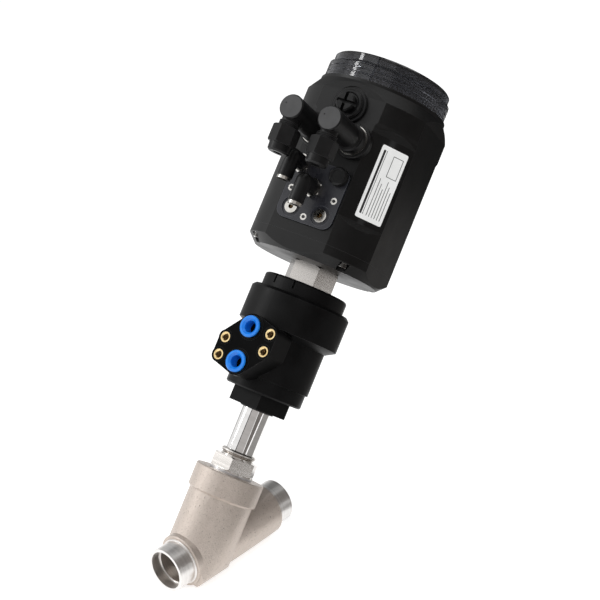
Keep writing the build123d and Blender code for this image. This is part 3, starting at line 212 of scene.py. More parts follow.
def make_edge_wear_and_highlight():
    """1 along the edges, within a width in mm, and 0 elsewhere."""
    group, given, out = new_group(
        "edge_wear_and_painted_highlight", [("Width", "f", 0.5), ("Breakup", "f", 0.5)], [("Mask", "f")]
    )
    rounded = add(group, "ShaderNodeBevel", samples=6)
    radius = math_node(group, "MULTIPLY", given["Width"], MM)
    group.links.new(radius, rounded.inputs["Radius"])
    geometry = add(group, "ShaderNodeNewGeometry")
    dot = add(group, "ShaderNodeVectorMath", operation="DOT_PRODUCT")
    group.links.new(rounded.outputs["Normal"], dot.inputs[0])
    group.links.new(geometry.outputs["Normal"], dot.inputs[1])
    bend = math_node(group, "SUBTRACT", 1.0, dot.outputs["Value"])
    bend = math_node(group, "MULTIPLY", bend, EDGE_GAIN)
    where = add(group, "ShaderNodeTexCoord").outputs["Object"]
    patches = add(group, "ShaderNodeTexNoise", Scale=BREAKUP_SCALE, Detail=3.0)
    group.links.new(where, patches.inputs["Vector"])
    broken_up = math_node(group, "SUBTRACT", patches.outputs["Fac"], BREAKUP_START)
    broken_up = math_node(group, "MULTIPLY", broken_up, BREAKUP_GAIN)
    both = add(group, "ShaderNodeMix", data_type="FLOAT")
    even, uneven = MIX_NUMBERS
    both.inputs[even].default_value = 1.0
    group.links.new(broken_up, both.inputs[uneven])
    group.links.new(given["Breakup"], both.inputs[MIX_FACTOR])
    strong = math_node(group, "MULTIPLY", bend, both.outputs[0])
    clamp = add(group, "ShaderNodeClamp")
    group.links.new(strong, clamp.inputs["Value"])
    group.links.new(clamp.outputs[0], out["Mask"])
    return group


EDGE = make_edge_wear_and_highlight()
print("edge group has", len(EDGE.nodes), "nodes")

# %% [markdown]
# ### Turning lines
#
# A lathe leaves lines square to the axis it turned about. A noise in one dimension, read
# along that axis, is the same all the way round, which is just what such lines are.

# %% Turning lines: what the tool leaves around an axis
WIDE_LINES = 0.12


def make_turning():
    """Fine lines for the height and wider ones for the tone, at a pitch in mm."""
    group, given, out = new_group(
        "turning_lines",
        [("Axis", "v", (1, 0, 0)), ("Pitch", "f", 0.25)],
        [("Height", "f"), ("Tone", "f")],
    )
    where = add(group, "ShaderNodeTexCoord").outputs["Object"]
    reach = add(group, "ShaderNodeVectorMath", operation="DOT_PRODUCT")
    group.links.new(where, reach.inputs[0])
    group.links.new(given["Axis"], reach.inputs[1])
    in_mm = math_node(group, "MULTIPLY", reach.outputs["Value"], 1 / MM)
    lines = math_node(group, "DIVIDE", in_mm, given["Pitch"])
    fine = add(group, "ShaderNodeTexNoise", noise_dimensions="1D", Scale=1.0, Detail=2.0)
    wide = add(group, "ShaderNodeTexNoise", noise_dimensions="1D", Scale=WIDE_LINES, Detail=1.0)
    for noise, output in ((fine, "Height"), (wide, "Tone")):
        group.links.new(lines, noise.inputs["W"])
        group.links.new(noise.outputs["Fac"], out[output])
    return group


TURNING = make_turning()
print("turning group has", len(TURNING.nodes), "nodes")

# %% [markdown]
# ## A frame for the finishes
#
# All finishes start the same way: a Principled shader, a colour that drifts between two
# tones, a roughness that drifts with it, and a bump. The values differ, so one function
# takes them, and each finish below only says what is special about it.

# %% Using a group, and mixing colours


def use(tree, group, **values):
    """Place a node group in a material, with its own values."""
    node = tree.nodes.new("ShaderNodeGroup")
    node.node_tree = group
    for name, value in values.items():
        node.inputs[name.replace("_", " ")].default_value = value
    return node.outputs


def grain(**values):
    """The skin of a moulded or cast piece."""
    return lambda tree: use(tree, GRAIN, **values)


def turning(**values):
    """The skin of a turned piece."""
    return lambda tree: use(tree, TURNING, **values)


def mix_colour(tree, factor, first, second):
    """Mix two colours by a factor from a socket; a colour may come from a socket too."""
    node = add(tree, "ShaderNodeMix", data_type="RGBA")
    tree.links.new(factor, node.inputs[MIX_FACTOR])
    for index, value in zip(MIX_COLOURS, (first, second)):
        if isinstance(value, bpy.types.NodeSocket):
            tree.links.new(value, node.inputs[index])
        else:
            node.inputs[index].default_value = (*value, 1.0)
    return node.outputs[MIX_COLOUR_RESULT]


def spread(tree, value, low, high):
    """Map a noise, which keeps mostly to 0.3 to 0.7, to low to high."""
    node = add(tree, "ShaderNodeMapRange", From_Min=0.3, From_Max=0.7, To_Min=low, To_Max=high)
    tree.links.new(value, node.inputs["Value"])
    return node.outputs[0]


print("finish helpers: use, grain, turning, mix_colour, spread")

# %% The finish builder


def finish(name, dark, light, rough, skin, depth, edge=None, specks=None, **shader_values):
    """A material from two tones, a roughness range and a skin with a bump depth in mm.

    An edge is its width in mm, its colour and its amount; that colour is partly wear and
    partly a painted highlight. Specks are a colour and an amount. Any other value goes to
    the shader's own input of that name.
    """
    material = bpy.data.materials.new(name)
    material.use_nodes = True
    tree = material.node_tree
    shader = tree.nodes["Principled BSDF"]
    marks = skin(tree)
    colour = mix_colour(tree, spread(tree, marks["Tone"], 0.0, 1.0), dark, light)
    # The edge tint is partly wear and partly a painted highlight.
    if edge:
        width, tint, amount = edge
        mask = math_node(tree, "MULTIPLY", use(tree, EDGE, Width=width)["Mask"], amount)
        colour = mix_colour(tree, mask, colour, tint)
    if specks:
        tint, amount = specks
        mask = math_node(tree, "MULTIPLY", marks["Specks"], amount)
        colour = mix_colour(tree, mask, colour, tint)
    tree.links.new(colour, shader.inputs["Base Color"])
    tree.links.new(spread(tree, marks["Tone"], *rough), shader.inputs["Roughness"])
    bump = add(tree, "ShaderNodeBump", Strength=1.0, Distance=depth * MM)
    tree.links.new(marks["Height"], bump.inputs["Height"])
    tree.links.new(bump.outputs["Normal"], shader.inputs["Normal"])
    for key, value in shader_values.items():
        shader.inputs[key.replace("_", " ")].default_value = value
    print("finish", name, "has", len(tree.nodes), "nodes")
    return material


# %% [markdown]
# ## Steel
#
# The casting is shot-blasted: warm grey, soft sheen, a skin of tiny dents with a dark
# speck here and there. The tube ends and hexagons are turned and keep fine lines. The
# column is polished nearly to a mirror, so its roughness and its bump are tiny.

# %% Steel finishes
PIPE = (1, 0, 0)

cast_steel = finish(
    "cast_steel", dark=(0.555, 0.485, 0.43), light=(0.61, 0.535, 0.48), rough=(0.36, 0.46),
    skin=grain(Size=1.0, Patch_Size=2.6), depth=0.26, edge=(0.7, (0.74, 0.69, 0.64), 0.45),
    specks=((0.16, 0.13, 0.11), 0.75), Metallic=0.8,
)
turned_steel = finish(
    "turned_steel", dark=(0.72, 0.70, 0.68), light=(0.84, 0.82, 0.80), rough=(0.28, 0.38),
    skin=turning(Axis=PIPE, Pitch=0.16), depth=0.004, edge=(0.25, (0.92, 0.92, 0.92), 0.6),
    Metallic=1.0,
)
stem_steel = finish(
    "stem_steel", dark=(0.64, 0.61, 0.58), light=(0.74, 0.71, 0.68), rough=(0.20, 0.28),
    skin=turning(Axis=UP_STEM, Pitch=0.3), depth=0.0008, edge=(0.3, (0.92, 0.91, 0.9), 0.7),
    Metallic=1.0,
)
polished_steel = finish(
    "polished_steel", dark=(0.77, 0.76, 0.75), light=(0.83, 0.82, 0.81), rough=(0.035, 0.055),
    skin=turning(Axis=UP_STEM, Pitch=0.4), depth=0.00005, Metallic=1.0,
)

# %% [markdown]
# ## Other metals
#
# Nickel is for the bright rings and small screws, brass for the pad's inserts and the
# packing gland, aluminium for the piston, the manifold and the gasket under the bonnet.
# The base screws are burnished: dark on their faces and bright on their edges, partly
# from wear and partly as a painted highlight. A thread sees little light in its hole, so
# it gets a dark brass.

# %% Small metal pieces
nickel = finish(
    "nickel", dark=(0.60, 0.58, 0.54), light=(0.76, 0.74, 0.70), rough=(0.10, 0.18),
    skin=grain(Size=0.5, Patch_Size=3.0), depth=0.003, edge=(0.2, (0.95, 0.94, 0.92), 0.8),
    Metallic=1.0,
)
brass = finish(
    "brass", dark=(0.78, 0.56, 0.25), light=(0.92, 0.73, 0.40), rough=(0.16, 0.26),
    skin=grain(Size=0.4, Patch_Size=2.0), depth=0.003, edge=(0.2, (1.0, 0.86, 0.56), 0.3),
    Metallic=1.0,
)
aluminium = finish(
    "aluminium", dark=(0.58, 0.58, 0.59), light=(0.70, 0.70, 0.71), rough=(0.30, 0.42),
    skin=grain(Size=0.4, Patch_Size=8.0), depth=0.01, edge=(0.3, (0.85, 0.85, 0.86), 0.6),
    Metallic=1.0,
)
burnished = finish(
    "burnished", dark=(0.07, 0.068, 0.065), light=(0.12, 0.118, 0.112), rough=(0.22, 0.32),
    skin=grain(Size=0.4, Patch_Size=2.0), depth=0.003, edge=(0.5, (0.95, 0.94, 0.92), 1.0),
    Metallic=1.0,
)
thread_shade = finish(
    "thread_shade", dark=(0.045, 0.026, 0.012), light=(0.09, 0.055, 0.025), rough=(0.35, 0.45),
    skin=grain(Size=0.4, Patch_Size=2.0), depth=0.003, edge=(0.2, (0.50, 0.34, 0.16), 0.5),
    Metallic=1.0,
)

# %% [markdown]
# ## Black plastics
#
# Several blacks meet here. The actuator is glass-filled and dull, the positioner housing
# has a fine even grain, the fittings are a shade paler, and the cap is clear smoke over
# the display. A black has almost no colour of its own, so its specular level and its
# roughness do the work. Edges are a little paler, because they wear and catch light.

# %% Blacks of the actuator and positioner
actuator_black = finish(
    "actuator_black", dark=(0.0022, 0.0022, 0.0023), light=(0.0040, 0.0040, 0.0042),
    rough=(0.36, 0.46),
    skin=grain(Size=0.40, Patch_Size=11.0), depth=0.014, edge=(0.5, (0.030, 0.030, 0.031), 0.6),
    Specular_IOR_Level=0.13,
)
pad_black = finish(
    "pad_black", dark=(0.0014, 0.0014, 0.0015), light=(0.0028, 0.0028, 0.0029), rough=(0.12, 0.18),
    skin=grain(Size=0.8, Patch_Size=9.0), depth=0.002, edge=(0.4, (0.05, 0.05, 0.052), 0.6),
    Specular_IOR_Level=0.05,
)
housing_black = finish(
    "housing_black", dark=(0.0022, 0.0022, 0.0023), light=(0.0040, 0.0040, 0.0042),
    rough=(0.38, 0.46),
    skin=grain(Size=0.32, Patch_Size=16.0), depth=0.013, edge=(0.5, (0.030, 0.030, 0.031), 0.55),
    Specular_IOR_Level=0.34,
)
fitting_black = finish(
    "fitting_black", dark=(0.0035, 0.0035, 0.0037), light=(0.0062, 0.0062, 0.0065),
    rough=(0.34, 0.44),
    skin=grain(Size=0.28, Patch_Size=7.0), depth=0.010, edge=(0.35, (0.045, 0.045, 0.047), 0.6),
    Specular_IOR_Level=0.26,
)

# %% Cap, plate and connector ends
cap_smoke = finish(
    "cap_smoke", dark=(0.095, 0.098, 0.108), light=(0.125, 0.128, 0.14), rough=(0.03, 0.07),
    skin=grain(Size=3.0, Patch_Size=20.0), depth=0.002, Transmission_Weight=0.92,
    Specular_IOR_Level=0.3, IOR=1.5,
)
plate_dark = finish(
    "plate_dark", dark=(0.014, 0.0145, 0.019), light=(0.022, 0.0225, 0.028), rough=(0.24, 0.32),
    skin=grain(Size=0.35, Patch_Size=9.0), depth=0.006, edge=(0.4, (0.16, 0.165, 0.19), 0.7),
)
# The paler grey of the connector ends is a painted highlight of the lamp light on them.
connector_end_painted_highlight = finish(
    "connector_end_painted_highlight", dark=(0.050, 0.050, 0.051), light=(0.066, 0.066, 0.067), rough=(0.50, 0.60),
    skin=grain(Size=0.28, Patch_Size=7.0), depth=0.010, Specular_IOR_Level=0.3,
)

# %% [markdown]
# ## Blue, paper and ink
#
# The two release collets are the strongest colour on the valve, a clean signal blue.
# The label is pale paper, and its ruled lines are dark ink. The same dark finish is also
# a painted shade in the centres of the plate screws.

# %% Colour and print
collet_blue = finish(
    "collet_blue", dark=(0.006, 0.19, 0.74), light=(0.012, 0.25, 0.86), rough=(0.20, 0.28),
    skin=grain(Size=0.5, Patch_Size=4.0), depth=0.004, edge=(0.3, (0.16, 0.46, 0.95), 0.6),
)
label_paper = finish(
    "label_paper", dark=(0.84, 0.84, 0.83), light=(0.90, 0.90, 0.895), rough=(0.34, 0.42),
    skin=grain(Size=0.3, Patch_Size=18.0), depth=0.003,
)
# Dark ink for the label's lines; the plate screws use it as painted shade of their sockets.
ink_and_socket_shade = finish(
    "ink_and_socket_shade", dark=(0.012, 0.012, 0.013), light=(0.025, 0.025, 0.026), rough=(0.40, 0.50),
    skin=grain(Size=0.3, Patch_Size=6.0), depth=0.002,
)

# %% [markdown]
# ## Pieces inside
#
# Most of these stay hidden until the valve is opened or a piece is lifted off: rubber
# seals, white packing rings, grey moulded parts, green boards and the display's pale
# screen. They still get a finish of their own, because a part is used in many ways.

# %% Seals, boards and screen
rubber = finish(
    "rubber", dark=(0.006, 0.006, 0.0065), light=(0.012, 0.012, 0.0125), rough=(0.55, 0.7),
    skin=grain(Size=0.4, Patch_Size=5.0), depth=0.02,
)
packing_white = finish(
    "packing_white", dark=(0.70, 0.68, 0.62), light=(0.80, 0.78, 0.73), rough=(0.35, 0.45),
    skin=grain(Size=0.4, Patch_Size=5.0), depth=0.01,
)
grey_plastic = finish(
    "grey_plastic", dark=(0.16, 0.165, 0.17), light=(0.20, 0.205, 0.21), rough=(0.36, 0.46),
    skin=grain(Size=0.4, Patch_Size=8.0), depth=0.012, edge=(0.4, (0.35, 0.35, 0.36), 0.5),
)
board_green = finish(
    "board_green", dark=(0.012, 0.075, 0.035), light=(0.02, 0.11, 0.05), rough=(0.25, 0.38),
    skin=grain(Size=0.9, Patch_Size=4.0), depth=0.012,
)
screen_glass = finish(
    "screen_glass", dark=(0.30, 0.36, 0.30), light=(0.34, 0.40, 0.33), rough=(0.05, 0.09),
    skin=grain(Size=1.0, Patch_Size=10.0), depth=0.002,
)

# %% [markdown]
# ## Who wears what
#
# One table says which solids take which finish. It is easier to read and to change than
# a line for every solid, and the count at the end shows whether one was forgotten.

# %% Give every solid its finish
FINISHES = {
    cast_steel: ["valve_body"],
    turned_steel: ["inlet_weld_end", "outlet_weld_end"],
    stem_steel: [
        "bonnet", "adapter_nut", "column_nut", "spindle", "plug_disc", "plug_nut",
        "piston_nut", "stem_extension", "packing_spring",
    ],
    polished_steel: ["column_tube"],
    nickel: [
        "plate_screws", "port_inserts", "elbow_nuts", "middle_elbow_ring",
        "side_elbow_ring", "cable_washers",
    ],
    burnished: ["base_screws"],
    brass: ["pad_inserts", "packing_gland"],
    aluminium: ["bonnet_gasket", "piston", "air_manifold"],
    actuator_black: ["actuator_housing", "actuator_cover", "crown_ring", "port_sleeves"],
    housing_black: ["positioner_base", "positioner_housing"],
    fitting_black: [
        "middle_elbow", "side_elbow", "blanking_plug", "vent_plug", "cable_bases",
        "left_cable_body", "right_cable_body", "left_gland_nut", "right_gland_nut",
    ],
    cap_smoke: ["cap"],
    plate_dark: ["pneumatic_plate"],
    collet_blue: ["lower_release_collet", "upper_release_collet"],
    rubber: ["cover_ring", "piston_seal"],
    packing_white: ["guide_bush", "packing_rings", "seat_seal"],
    grey_plastic: [
        "travel_target", "travel_sensor", "pilot_valves", "display_fascia",
        "key_1", "key_2", "key_3", "key_4",
    ],
    board_green: ["circuit_board", "display_board"],
    screen_glass: ["screen"],
}


def dress(solid, material):
    """Replace whatever material the solid came with."""
    solid.data.materials.clear()
    solid.data.materials.append(material)
    for face in solid.data.polygons:
        face.material_index = 0
        face.use_smooth = True


for material, names in FINISHES.items():
    for name in names:
        dress(NODES[name], material)
print("dressed", sum(len(names) for names in FINISHES.values()), "of", len(NODES))

# %% [markdown]
# ## Faces with a finish of their own
#
# A few faces differ from the rest of their piece: the flat of the air pad is smoother
# than the actuator, and the outer ends of the two cable connectors get a paler grey, a
# painted highlight for the lamp light that falls on them. A second material on the
# outermost faces does this without cutting the mesh.

# %% Pad face and connector ends
FACES_OUT = 0.97
PAD_SKIN, LIT_END_DEPTH = 2.0, 0.6


def refinish(name, out, depth, material):
    """Give the faces that look along out, within depth mm of the outermost, a finish."""
    mesh = NODES[name].data
    mesh.materials.append(material)
    level = max(vertex.co.dot(out) for vertex in mesh.vertices) - depth * MM
    outer = [face for face in mesh.polygons if face.normal.dot(out) > FACES_OUT]
    outer = [face for face in outer if face.center.dot(out) > level]
    for face in outer:
        face.material_index = 1
    print(name, "has", len(outer), "faces in", material.name)


refinish("actuator_housing", PAD_OUT, PAD_SKIN, pad_black)
refinish("left_cable_body", PANEL_OUT, LIT_END_DEPTH, connector_end_painted_highlight)
refinish("right_cable_body", PANEL_OUT, LIT_END_DEPTH, connector_end_painted_highlight)

# %% [markdown]
# ## Soft edges
#
# CAD edges are perfectly sharp, and real ones never are. Marking the sharp edges keeps
# flat faces flat, and a small Bevel modifier rounds the corners of the moulded and
# machined pieces without touching the mesh that came from the CAD. Radii are in
# millimetres.

# %% Smooth shading with rounded edges
SHARP = radians(28)
EDGE_RADII = {
    0.8: ["valve_body"],
    0.6: ["actuator_housing", "actuator_cover", "positioner_base", "positioner_housing"],
    0.35: [
        "crown_ring", "bonnet", "adapter_nut", "pneumatic_plate", "cable_bases",
        "left_cable_body", "right_cable_body", "left_gland_nut", "right_gland_nut",
        "blanking_plug", "vent_plug", "middle_elbow", "side_elbow", "display_fascia",
    ],
    0.2: ["inlet_weld_end", "outlet_weld_end", "elbow_nuts", "port_inserts", "plate_screws"],
}


def soften(solid, radius=None):
    """Keep sharp edges sharp in the shading, and round them where a radius is given."""
    solid.data.set_sharp_from_angle(angle=SHARP)
    if radius:
        bevel = solid.modifiers.new("edge_radius", "BEVEL")
        bevel.width = radius * MM
        bevel.segments = 2
        bevel.limit_method = "ANGLE"
        bevel.angle_limit = SHARP
        bevel.use_clamp_overlap = True
        bevel.harden_normals = True


radius_of = {name: radius for radius, names in EDGE_RADII.items() for name in names}
for name, solid in NODES.items():
    soften(solid, radius_of.get(name))
print("rounded edges on", len(radius_of), "of", len(NODES), "solids")

# %% [markdown]
# ## Measuring along the stem
#
# The new pieces sit on the CAD solids, so their places are measured there. Most of them
# need only a height along the stem, or the point where a straight probe meets a solid.

# %% Heights and touch points


def along(name):
    """Lowest and highest point of a solid along the stem."""
    heights = [(vertex.co - CROSSING).dot(UP_STEM) for vertex in NODES[name].data.vertices]
    return min(heights), max(heights)


def on_stem(height):
    """The point on the stem's axis at a height above the pipe's axis."""
    return CROSSING + UP_STEM * height


def touch(name, start, direction):
    """The point where a straight probe meets a solid."""
    mesh = NODES[name].data
    corners = [vertex.co for vertex in mesh.vertices]
    tree = BVHTree.FromPolygons(corners, [face.vertices for face in mesh.polygons])
    return tree.ray_cast(Vector(start), Vector(direction).normalized())[0]


POSITIONER_LOW = along("positioner_base")[0]
print("positioner starts", round(POSITIONER_LOW, 4), "m up the stem")

# %% [markdown]
# ## Three ways to make a small piece
#
# A ring is an outline turned about an axis, a thread is a small ridge that follows a
# helix, and a plate is a rounded outline with a thickness. All are built point by point,
# so they carry exactly the faces they need.

# %% A new piece, and several shapes as one


def new_piece(name, points, faces, body, slot, material):
    """A mesh object with clean normals, a finish and a body to ride on; its slot is not used."""
    mesh = bpy.data.meshes.new(name)
    mesh.from_pydata(points, [], faces)
    shape = bmesh.new()
    shape.from_mesh(mesh)
    bmesh.ops.recalc_face_normals(shape, faces=shape.faces)
    shape.to_mesh(mesh)
    shape.free()
    mesh.materials.append(material)
    mesh.polygons.foreach_set("use_smooth", [True] * len(mesh.polygons))
    mesh.set_sharp_from_angle(angle=SHARP)
    piece = bpy.data.objects.new(name, mesh)
    bpy.context.scene.collection.objects.link(piece)
    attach(piece, body)
    print("made", name, "with", len(faces), "faces on", body)
    return piece


def joined(parts):
    """Several point-and-face pairs as one."""
    points, faces = [], []
    for some_points, some_faces in parts:
        start = len(points)
        points += some_points
        faces += [tuple(start + n for n in face) for face in some_faces]
    return points, faces


print("piece helpers: new_piece, joined")

# %% Rings


def ring(matrix, outline, steps=64):
    """Points and faces of a closed outline of (radius, height) in mm, turned about Z."""
    points, faces, count = [], [], len(outline)
    for turn in range(steps):
        angle = 2 * pi * turn / steps
        for radius, height in outline:
            flat = Vector((radius * cos(angle), radius * sin(angle), height))
            points.append(matrix @ (flat * MM))
        here = turn * count
        there = (turn + 1) % steps * count
        for n in range(count):
            after = (n + 1) % count
            faces.append((here + n, here + after, there + after, there + n))
    return points, faces


def bead(radius, height, thick, corners=8):
    """A round outline for ring()."""
    turns = [2 * pi * n / corners for n in range(corners)]
    return [(radius + thick / 2 * cos(a), height + thick / 2 * sin(a)) for a in turns]


print("ring helpers: ring, bead")

# %% Ridges of a thread
RIDGE_CREST, RIDGE_END = 0.45, 0.9


def helix(matrix, radius, crest, pitch, low, high, steps=24):
    """Points and faces of a ridge between two radii that climbs from low to high, in mm."""
    section = ((radius, 0.0), (crest, pitch * RIDGE_CREST), (radius, pitch * RIDGE_END))
    points, faces = [], []
    total = round((high - low - pitch) / pitch * steps)
    for step in range(total + 1):
        angle = 2 * pi * step / steps
        base = low + pitch * step / steps
        for r, rise in section:
            corner = Vector((r * cos(angle), r * sin(angle), base + rise))
            points.append(matrix @ (corner * MM))
        if step:
            a, b = 3 * (step - 1), 3 * step
            faces += [(a + n, a + (n + 1) % 3, b + (n + 1) % 3, b + n) for n in range(3)]
    last = 3 * total
    return points, faces + [(0, 1, 2), (last, last + 2, last + 1)]


print("thread helper: helix")

# %% Thin plates


def slab(matrix, width, height, thick, corner, x=0.0, y=0.0, arc=5):
    """Points and faces of a rounded plate in mm, standing on its frame's XY plane."""
    edge = []
    for quarter, (sx, sy) in enumerate(((1, 1), (-1, 1), (-1, -1), (1, -1))):
        for n in range(arc + 1):
            angle = pi / 2 * (quarter + n / arc)
            edge.append((
                x + sx * (width / 2 - corner) + corner * cos(angle),
                y + sy * (height / 2 - corner) + corner * sin(angle),
            ))
    count = len(edge)
    points = [matrix @ (Vector((px, py, z)) * MM) for z in (0.0, thick) for px, py in edge]
    faces = [(n, (n + 1) % count, count + (n + 1) % count, count + n) for n in range(count)]
    return points, faces + [tuple(range(count)), tuple(range(count, 2 * count))]


print("plate helper: slab")

# %% [markdown]
# ## The rating label
#
# A white label lies in the sunk corner flat of the positioner. On the real valve it is
# printed; here it stays free of words and carries only ruled lines, as an unused form
# does. The lines are thin slabs of ink, so they stay crisp from any distance.

# %% Label and its ruled lines
LABEL_TURN = 45.0  # degrees about the stem, from the panel to the corner flat
LABEL_SHIFT, LABEL_UP = 3.9, 61.5
LABEL_WIDTH, LABEL_HEIGHT, LABEL_CORNER = 19.6, 50.0, 1.2
PAPER, GLUE, INK = 0.12, 0.02, 0.03
PROBE_START = 0.1  # metres, well outside the housing
RULE, RULE_CORNER = 0.4, 0.1


def ruled_lines():
    """Width, height, corner, x and y in mm of every line; y runs up the stem."""
    heavy = (1.5, 44.0, 0.3, -7.0, 0.0)
    light = (0.35, 44.0, RULE_CORNER, -5.3, 0.0)
    lines = [heavy, light]
    for n in range(6):
        long = 26.0 - 3.0 * (n % 3)
        lines.append((RULE, long, RULE_CORNER, -2.6 + 2.0 * n, -22.0 + long / 2))
    lines += [(RULE, 14.0, RULE_CORNER, x, 13.5) for x in (0.4, 7.6)]
    lines += [(7.6, RULE, RULE_CORNER, 4.0, y) for y in (6.5, 20.5)]
    return lines


def make_label():
    """The paper on the housing, and the lines on the paper."""
    out = around_stem(PANEL_OUT, LABEL_TURN)
    middle = on_stem(POSITIONER_LOW + LABEL_UP * MM)
    face = touch("positioner_housing", middle + out * PROBE_START, -out)
    across = UP_STEM.cross(out).normalized()
    sheet = place(face + across * LABEL_SHIFT * MM + out * GLUE * MM, out)
    paper = slab(sheet, LABEL_WIDTH, LABEL_HEIGHT, PAPER, LABEL_CORNER)
    new_piece("label_sheet", *paper, "actuator", "packing", label_paper)
    top = sheet @ Matrix.Translation((0, 0, PAPER * MM))
    lines = [
        slab(top, width, height, INK, corner, x, y)
        for width, height, corner, x, y in ruled_lines()
    ]
    new_piece("label_lines", *joined(lines), "actuator", "fitting_black", ink_and_socket_shade)
    print("label lies", round((face - middle).length / MM, 1), "mm from the stem axis")


make_label()

# %% [markdown]
# ## Threads
#
# The brass inserts take the screws of a pilot valve, and the air ports in the plate take
# pipe fittings. A thread is only a shallow ridge, but it breaks up the shine in the hole,
# which is how the eye knows it from a plain bore.

# %% Threads in the inserts and air ports
THREAD_PITCH, THREAD_DEPTH = 0.7, 0.35
THREAD_LONGEST = 8.0
THREAD_OVERLAP = 0.04  # how far the ridge reaches into the wall of its hole
THREAD_STOP = 0.5  # how far short of the hole's end the last turn stops


def make_threads():
    """A ridge in every threaded hole and air port that the record names."""
    for name, mount in MOUNTS.items():
        if mount["kind"] == "threaded_hole" or name.endswith("plate_port"):
            radius = mount["dims"]["r_mm"]
            half = min(mount["dims"]["length_mm"], THREAD_LONGEST) / 2
            ridge = helix(
                place(mount["pos_m"], mount["axis"]),
                radius + THREAD_OVERLAP, radius - THREAD_DEPTH, THREAD_PITCH,
                -half, half - THREAD_STOP,
            )
            new_piece(name + "_thread", *ridge, "actuator", "brass", thread_shade)


make_threads()

# %% [markdown]
# ## Sockets of the plate screws
#
# The CAD heads have only a shallow slot. Each gets a thin dark disc on the head, a
# painted shade where a deep socket would be, so that the head reads as a bright ring.

# %% Painted shade in the screw sockets
# Places of the three screws, in mm across the panel and up the stem, from the middle
# between the two air ports.
SCREW_PLACES = ((0, -3.9), (16.0, 11.8), (-16.0, 11.8))
SOCKET_SHADE_WIDTH, SOCKET_SHADE_THICK = 2.3, 0.05
SOCKET_SHADE_CORNER = 1.149  # just under half the width, so the plate is a disc
SOCKET_SHADE_GAP = 0.01


def make_socket_shades():
    """A thin dark disc on the head of each plate screw, as painted shade of its socket."""
    heads = NODES["plate_screws"].data.vertices
    level = max(vertex.co.dot(PANEL_OUT) for vertex in heads)
    left_port = Vector(MOUNTS["left_plate_port"]["pos_m"])
    right_port = Vector(MOUNTS["right_plate_port"]["pos_m"])
    side = (right_port - left_port).normalized()
    middle = (left_port + right_port) / 2
    discs = []
    for across, up in SCREW_PLACES:
        spot = middle + side * across * MM + UP_STEM * up * MM
        spot += PANEL_OUT * (level - spot.dot(PANEL_OUT) + SOCKET_SHADE_GAP * MM)
        head = place(spot, PANEL_OUT)
        discs.append(slab(head, SOCKET_SHADE_WIDTH, SOCKET_SHADE_WIDTH, SOCKET_SHADE_THICK, SOCKET_SHADE_CORNER))
    new_piece("plate_screw_socket_shades", *joined(discs), "actuator", "fitting_black", ink_and_socket_shade)


make_socket_shades()

# %% [markdown]
# ## Rings that close the joints
#
# Where one piece enters another there is always a small ring: the weld bead at the tube
# ends, the wiper under the actuator, the sealing rings on the connector necks. All are
# outlines turned about an axis, in millimetres of radius and height.

# %% Beads at the tube ends
BEAD_RADIUS, BEAD_HEIGHT, BEAD_THICK = 15.2, 0.1, 1.4
PROBE_RADIUS = 16.5  # just outside the tube, where the casting's end face is
INWARDS = {"inlet": 1, "outlet": -1}  # along the pipe, from each tube end


def make_beads():
    """A round bead where each tube end enters the casting."""
    for end, inward in INWARDS.items():
        tube_low, tube_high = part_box(end + "_weld_end")
        tip = tube_low.x if inward > 0 else tube_high.x
        casting = touch("valve_body", (tip, 0, PROBE_RADIUS * MM), (inward, 0, 0))
        foot = place((casting.x, 0, 0), (-inward, 0, 0), (0, 0, 1))
        rim = ring(foot, bead(BEAD_RADIUS, BEAD_HEIGHT, BEAD_THICK))
        new_piece(end + "_bead", *rim, "valve", "tube_steel", turned_steel)


make_beads()

# %% Wiper under the actuator
WIPER = [(10.15, 0.1), (11.9, 0.1), (11.9, -0.5), (11.2, -1.1), (10.15, -1.1)]


def make_wiper():
    """A rubber lip under the actuator's boss, round the column."""
    boss = place(on_stem(along("actuator_housing")[0]), UP_STEM, PANEL_OUT)
    new_piece("column_wiper", *ring(boss, WIPER), "actuator", "gasket", rubber)


make_wiper()

# %% Rings on the connector necks
NECK_RADIUS, NECK_THICK = 6.1, 1.1
NECK_START, NECK_STEP, NECK_RINGS = 0.7, 1.15, 3


def make_neck_rings():
    """Three rings on each cable connector, above its gland nut."""
    for side in ("left", "right"):
        mouth = Vector(MOUNTS[side + "_cable_entry"]["pos_m"])
        top = along(side + "_gland_nut")[1]
        foot = mouth + UP_STEM * (top - (mouth - CROSSING).dot(UP_STEM))
        neck = place(foot, UP_STEM, PANEL_OUT)
        heights = [NECK_START + NECK_STEP * n for n in range(NECK_RINGS)]
        stack = joined(ring(neck, bead(NECK_RADIUS, height, NECK_THICK)) for height in heights)
        new_piece(
            side + "_neck_rings", *stack, side + "_connector", "fitting_black", fitting_black
        )


make_neck_rings()

# %% [markdown]
# ## The studio
#
# A pale floor just under the pipe and a white surround. The surround is white for the
# camera and in reflections, but it lights the valve only as much as a real white room.
# The floor keeps the soft shadow of the valve, and adds a little of its own light for the
# camera, so that it ends up nearly as pale as the surround.

# %% Rays and sheets of the studio
CLEAR_RAYS = ("Is Camera Ray", "Is Glossy Ray", "Is Transmission Ray")


def seen_by(tree, *rays):
    """1 on the named kinds of rays, 0 on the others."""
    path = add(tree, "ShaderNodeLightPath")
    seen = path.outputs[rays[0]]
    for ray in rays[1:]:
        seen = math_node(tree, "MAXIMUM", seen, path.outputs[ray])
    return seen


def flat_object(name, points, faces, material):
    """A sheet of the studio, which isn't part of the valve."""
    mesh = bpy.data.meshes.new(name)
    mesh.from_pydata(points, [], faces)
    mesh.materials.append(material)
    sheet = bpy.data.objects.new(name, mesh)
    bpy.context.scene.collection.objects.link(sheet)
    print("stage sheet", name)
    return sheet


# %% Floor
FLOOR_COLOUR = (0.82, 0.82, 0.82, 1)
FLOOR_GLOW = 0.58
FLOOR_HALF = 6.0


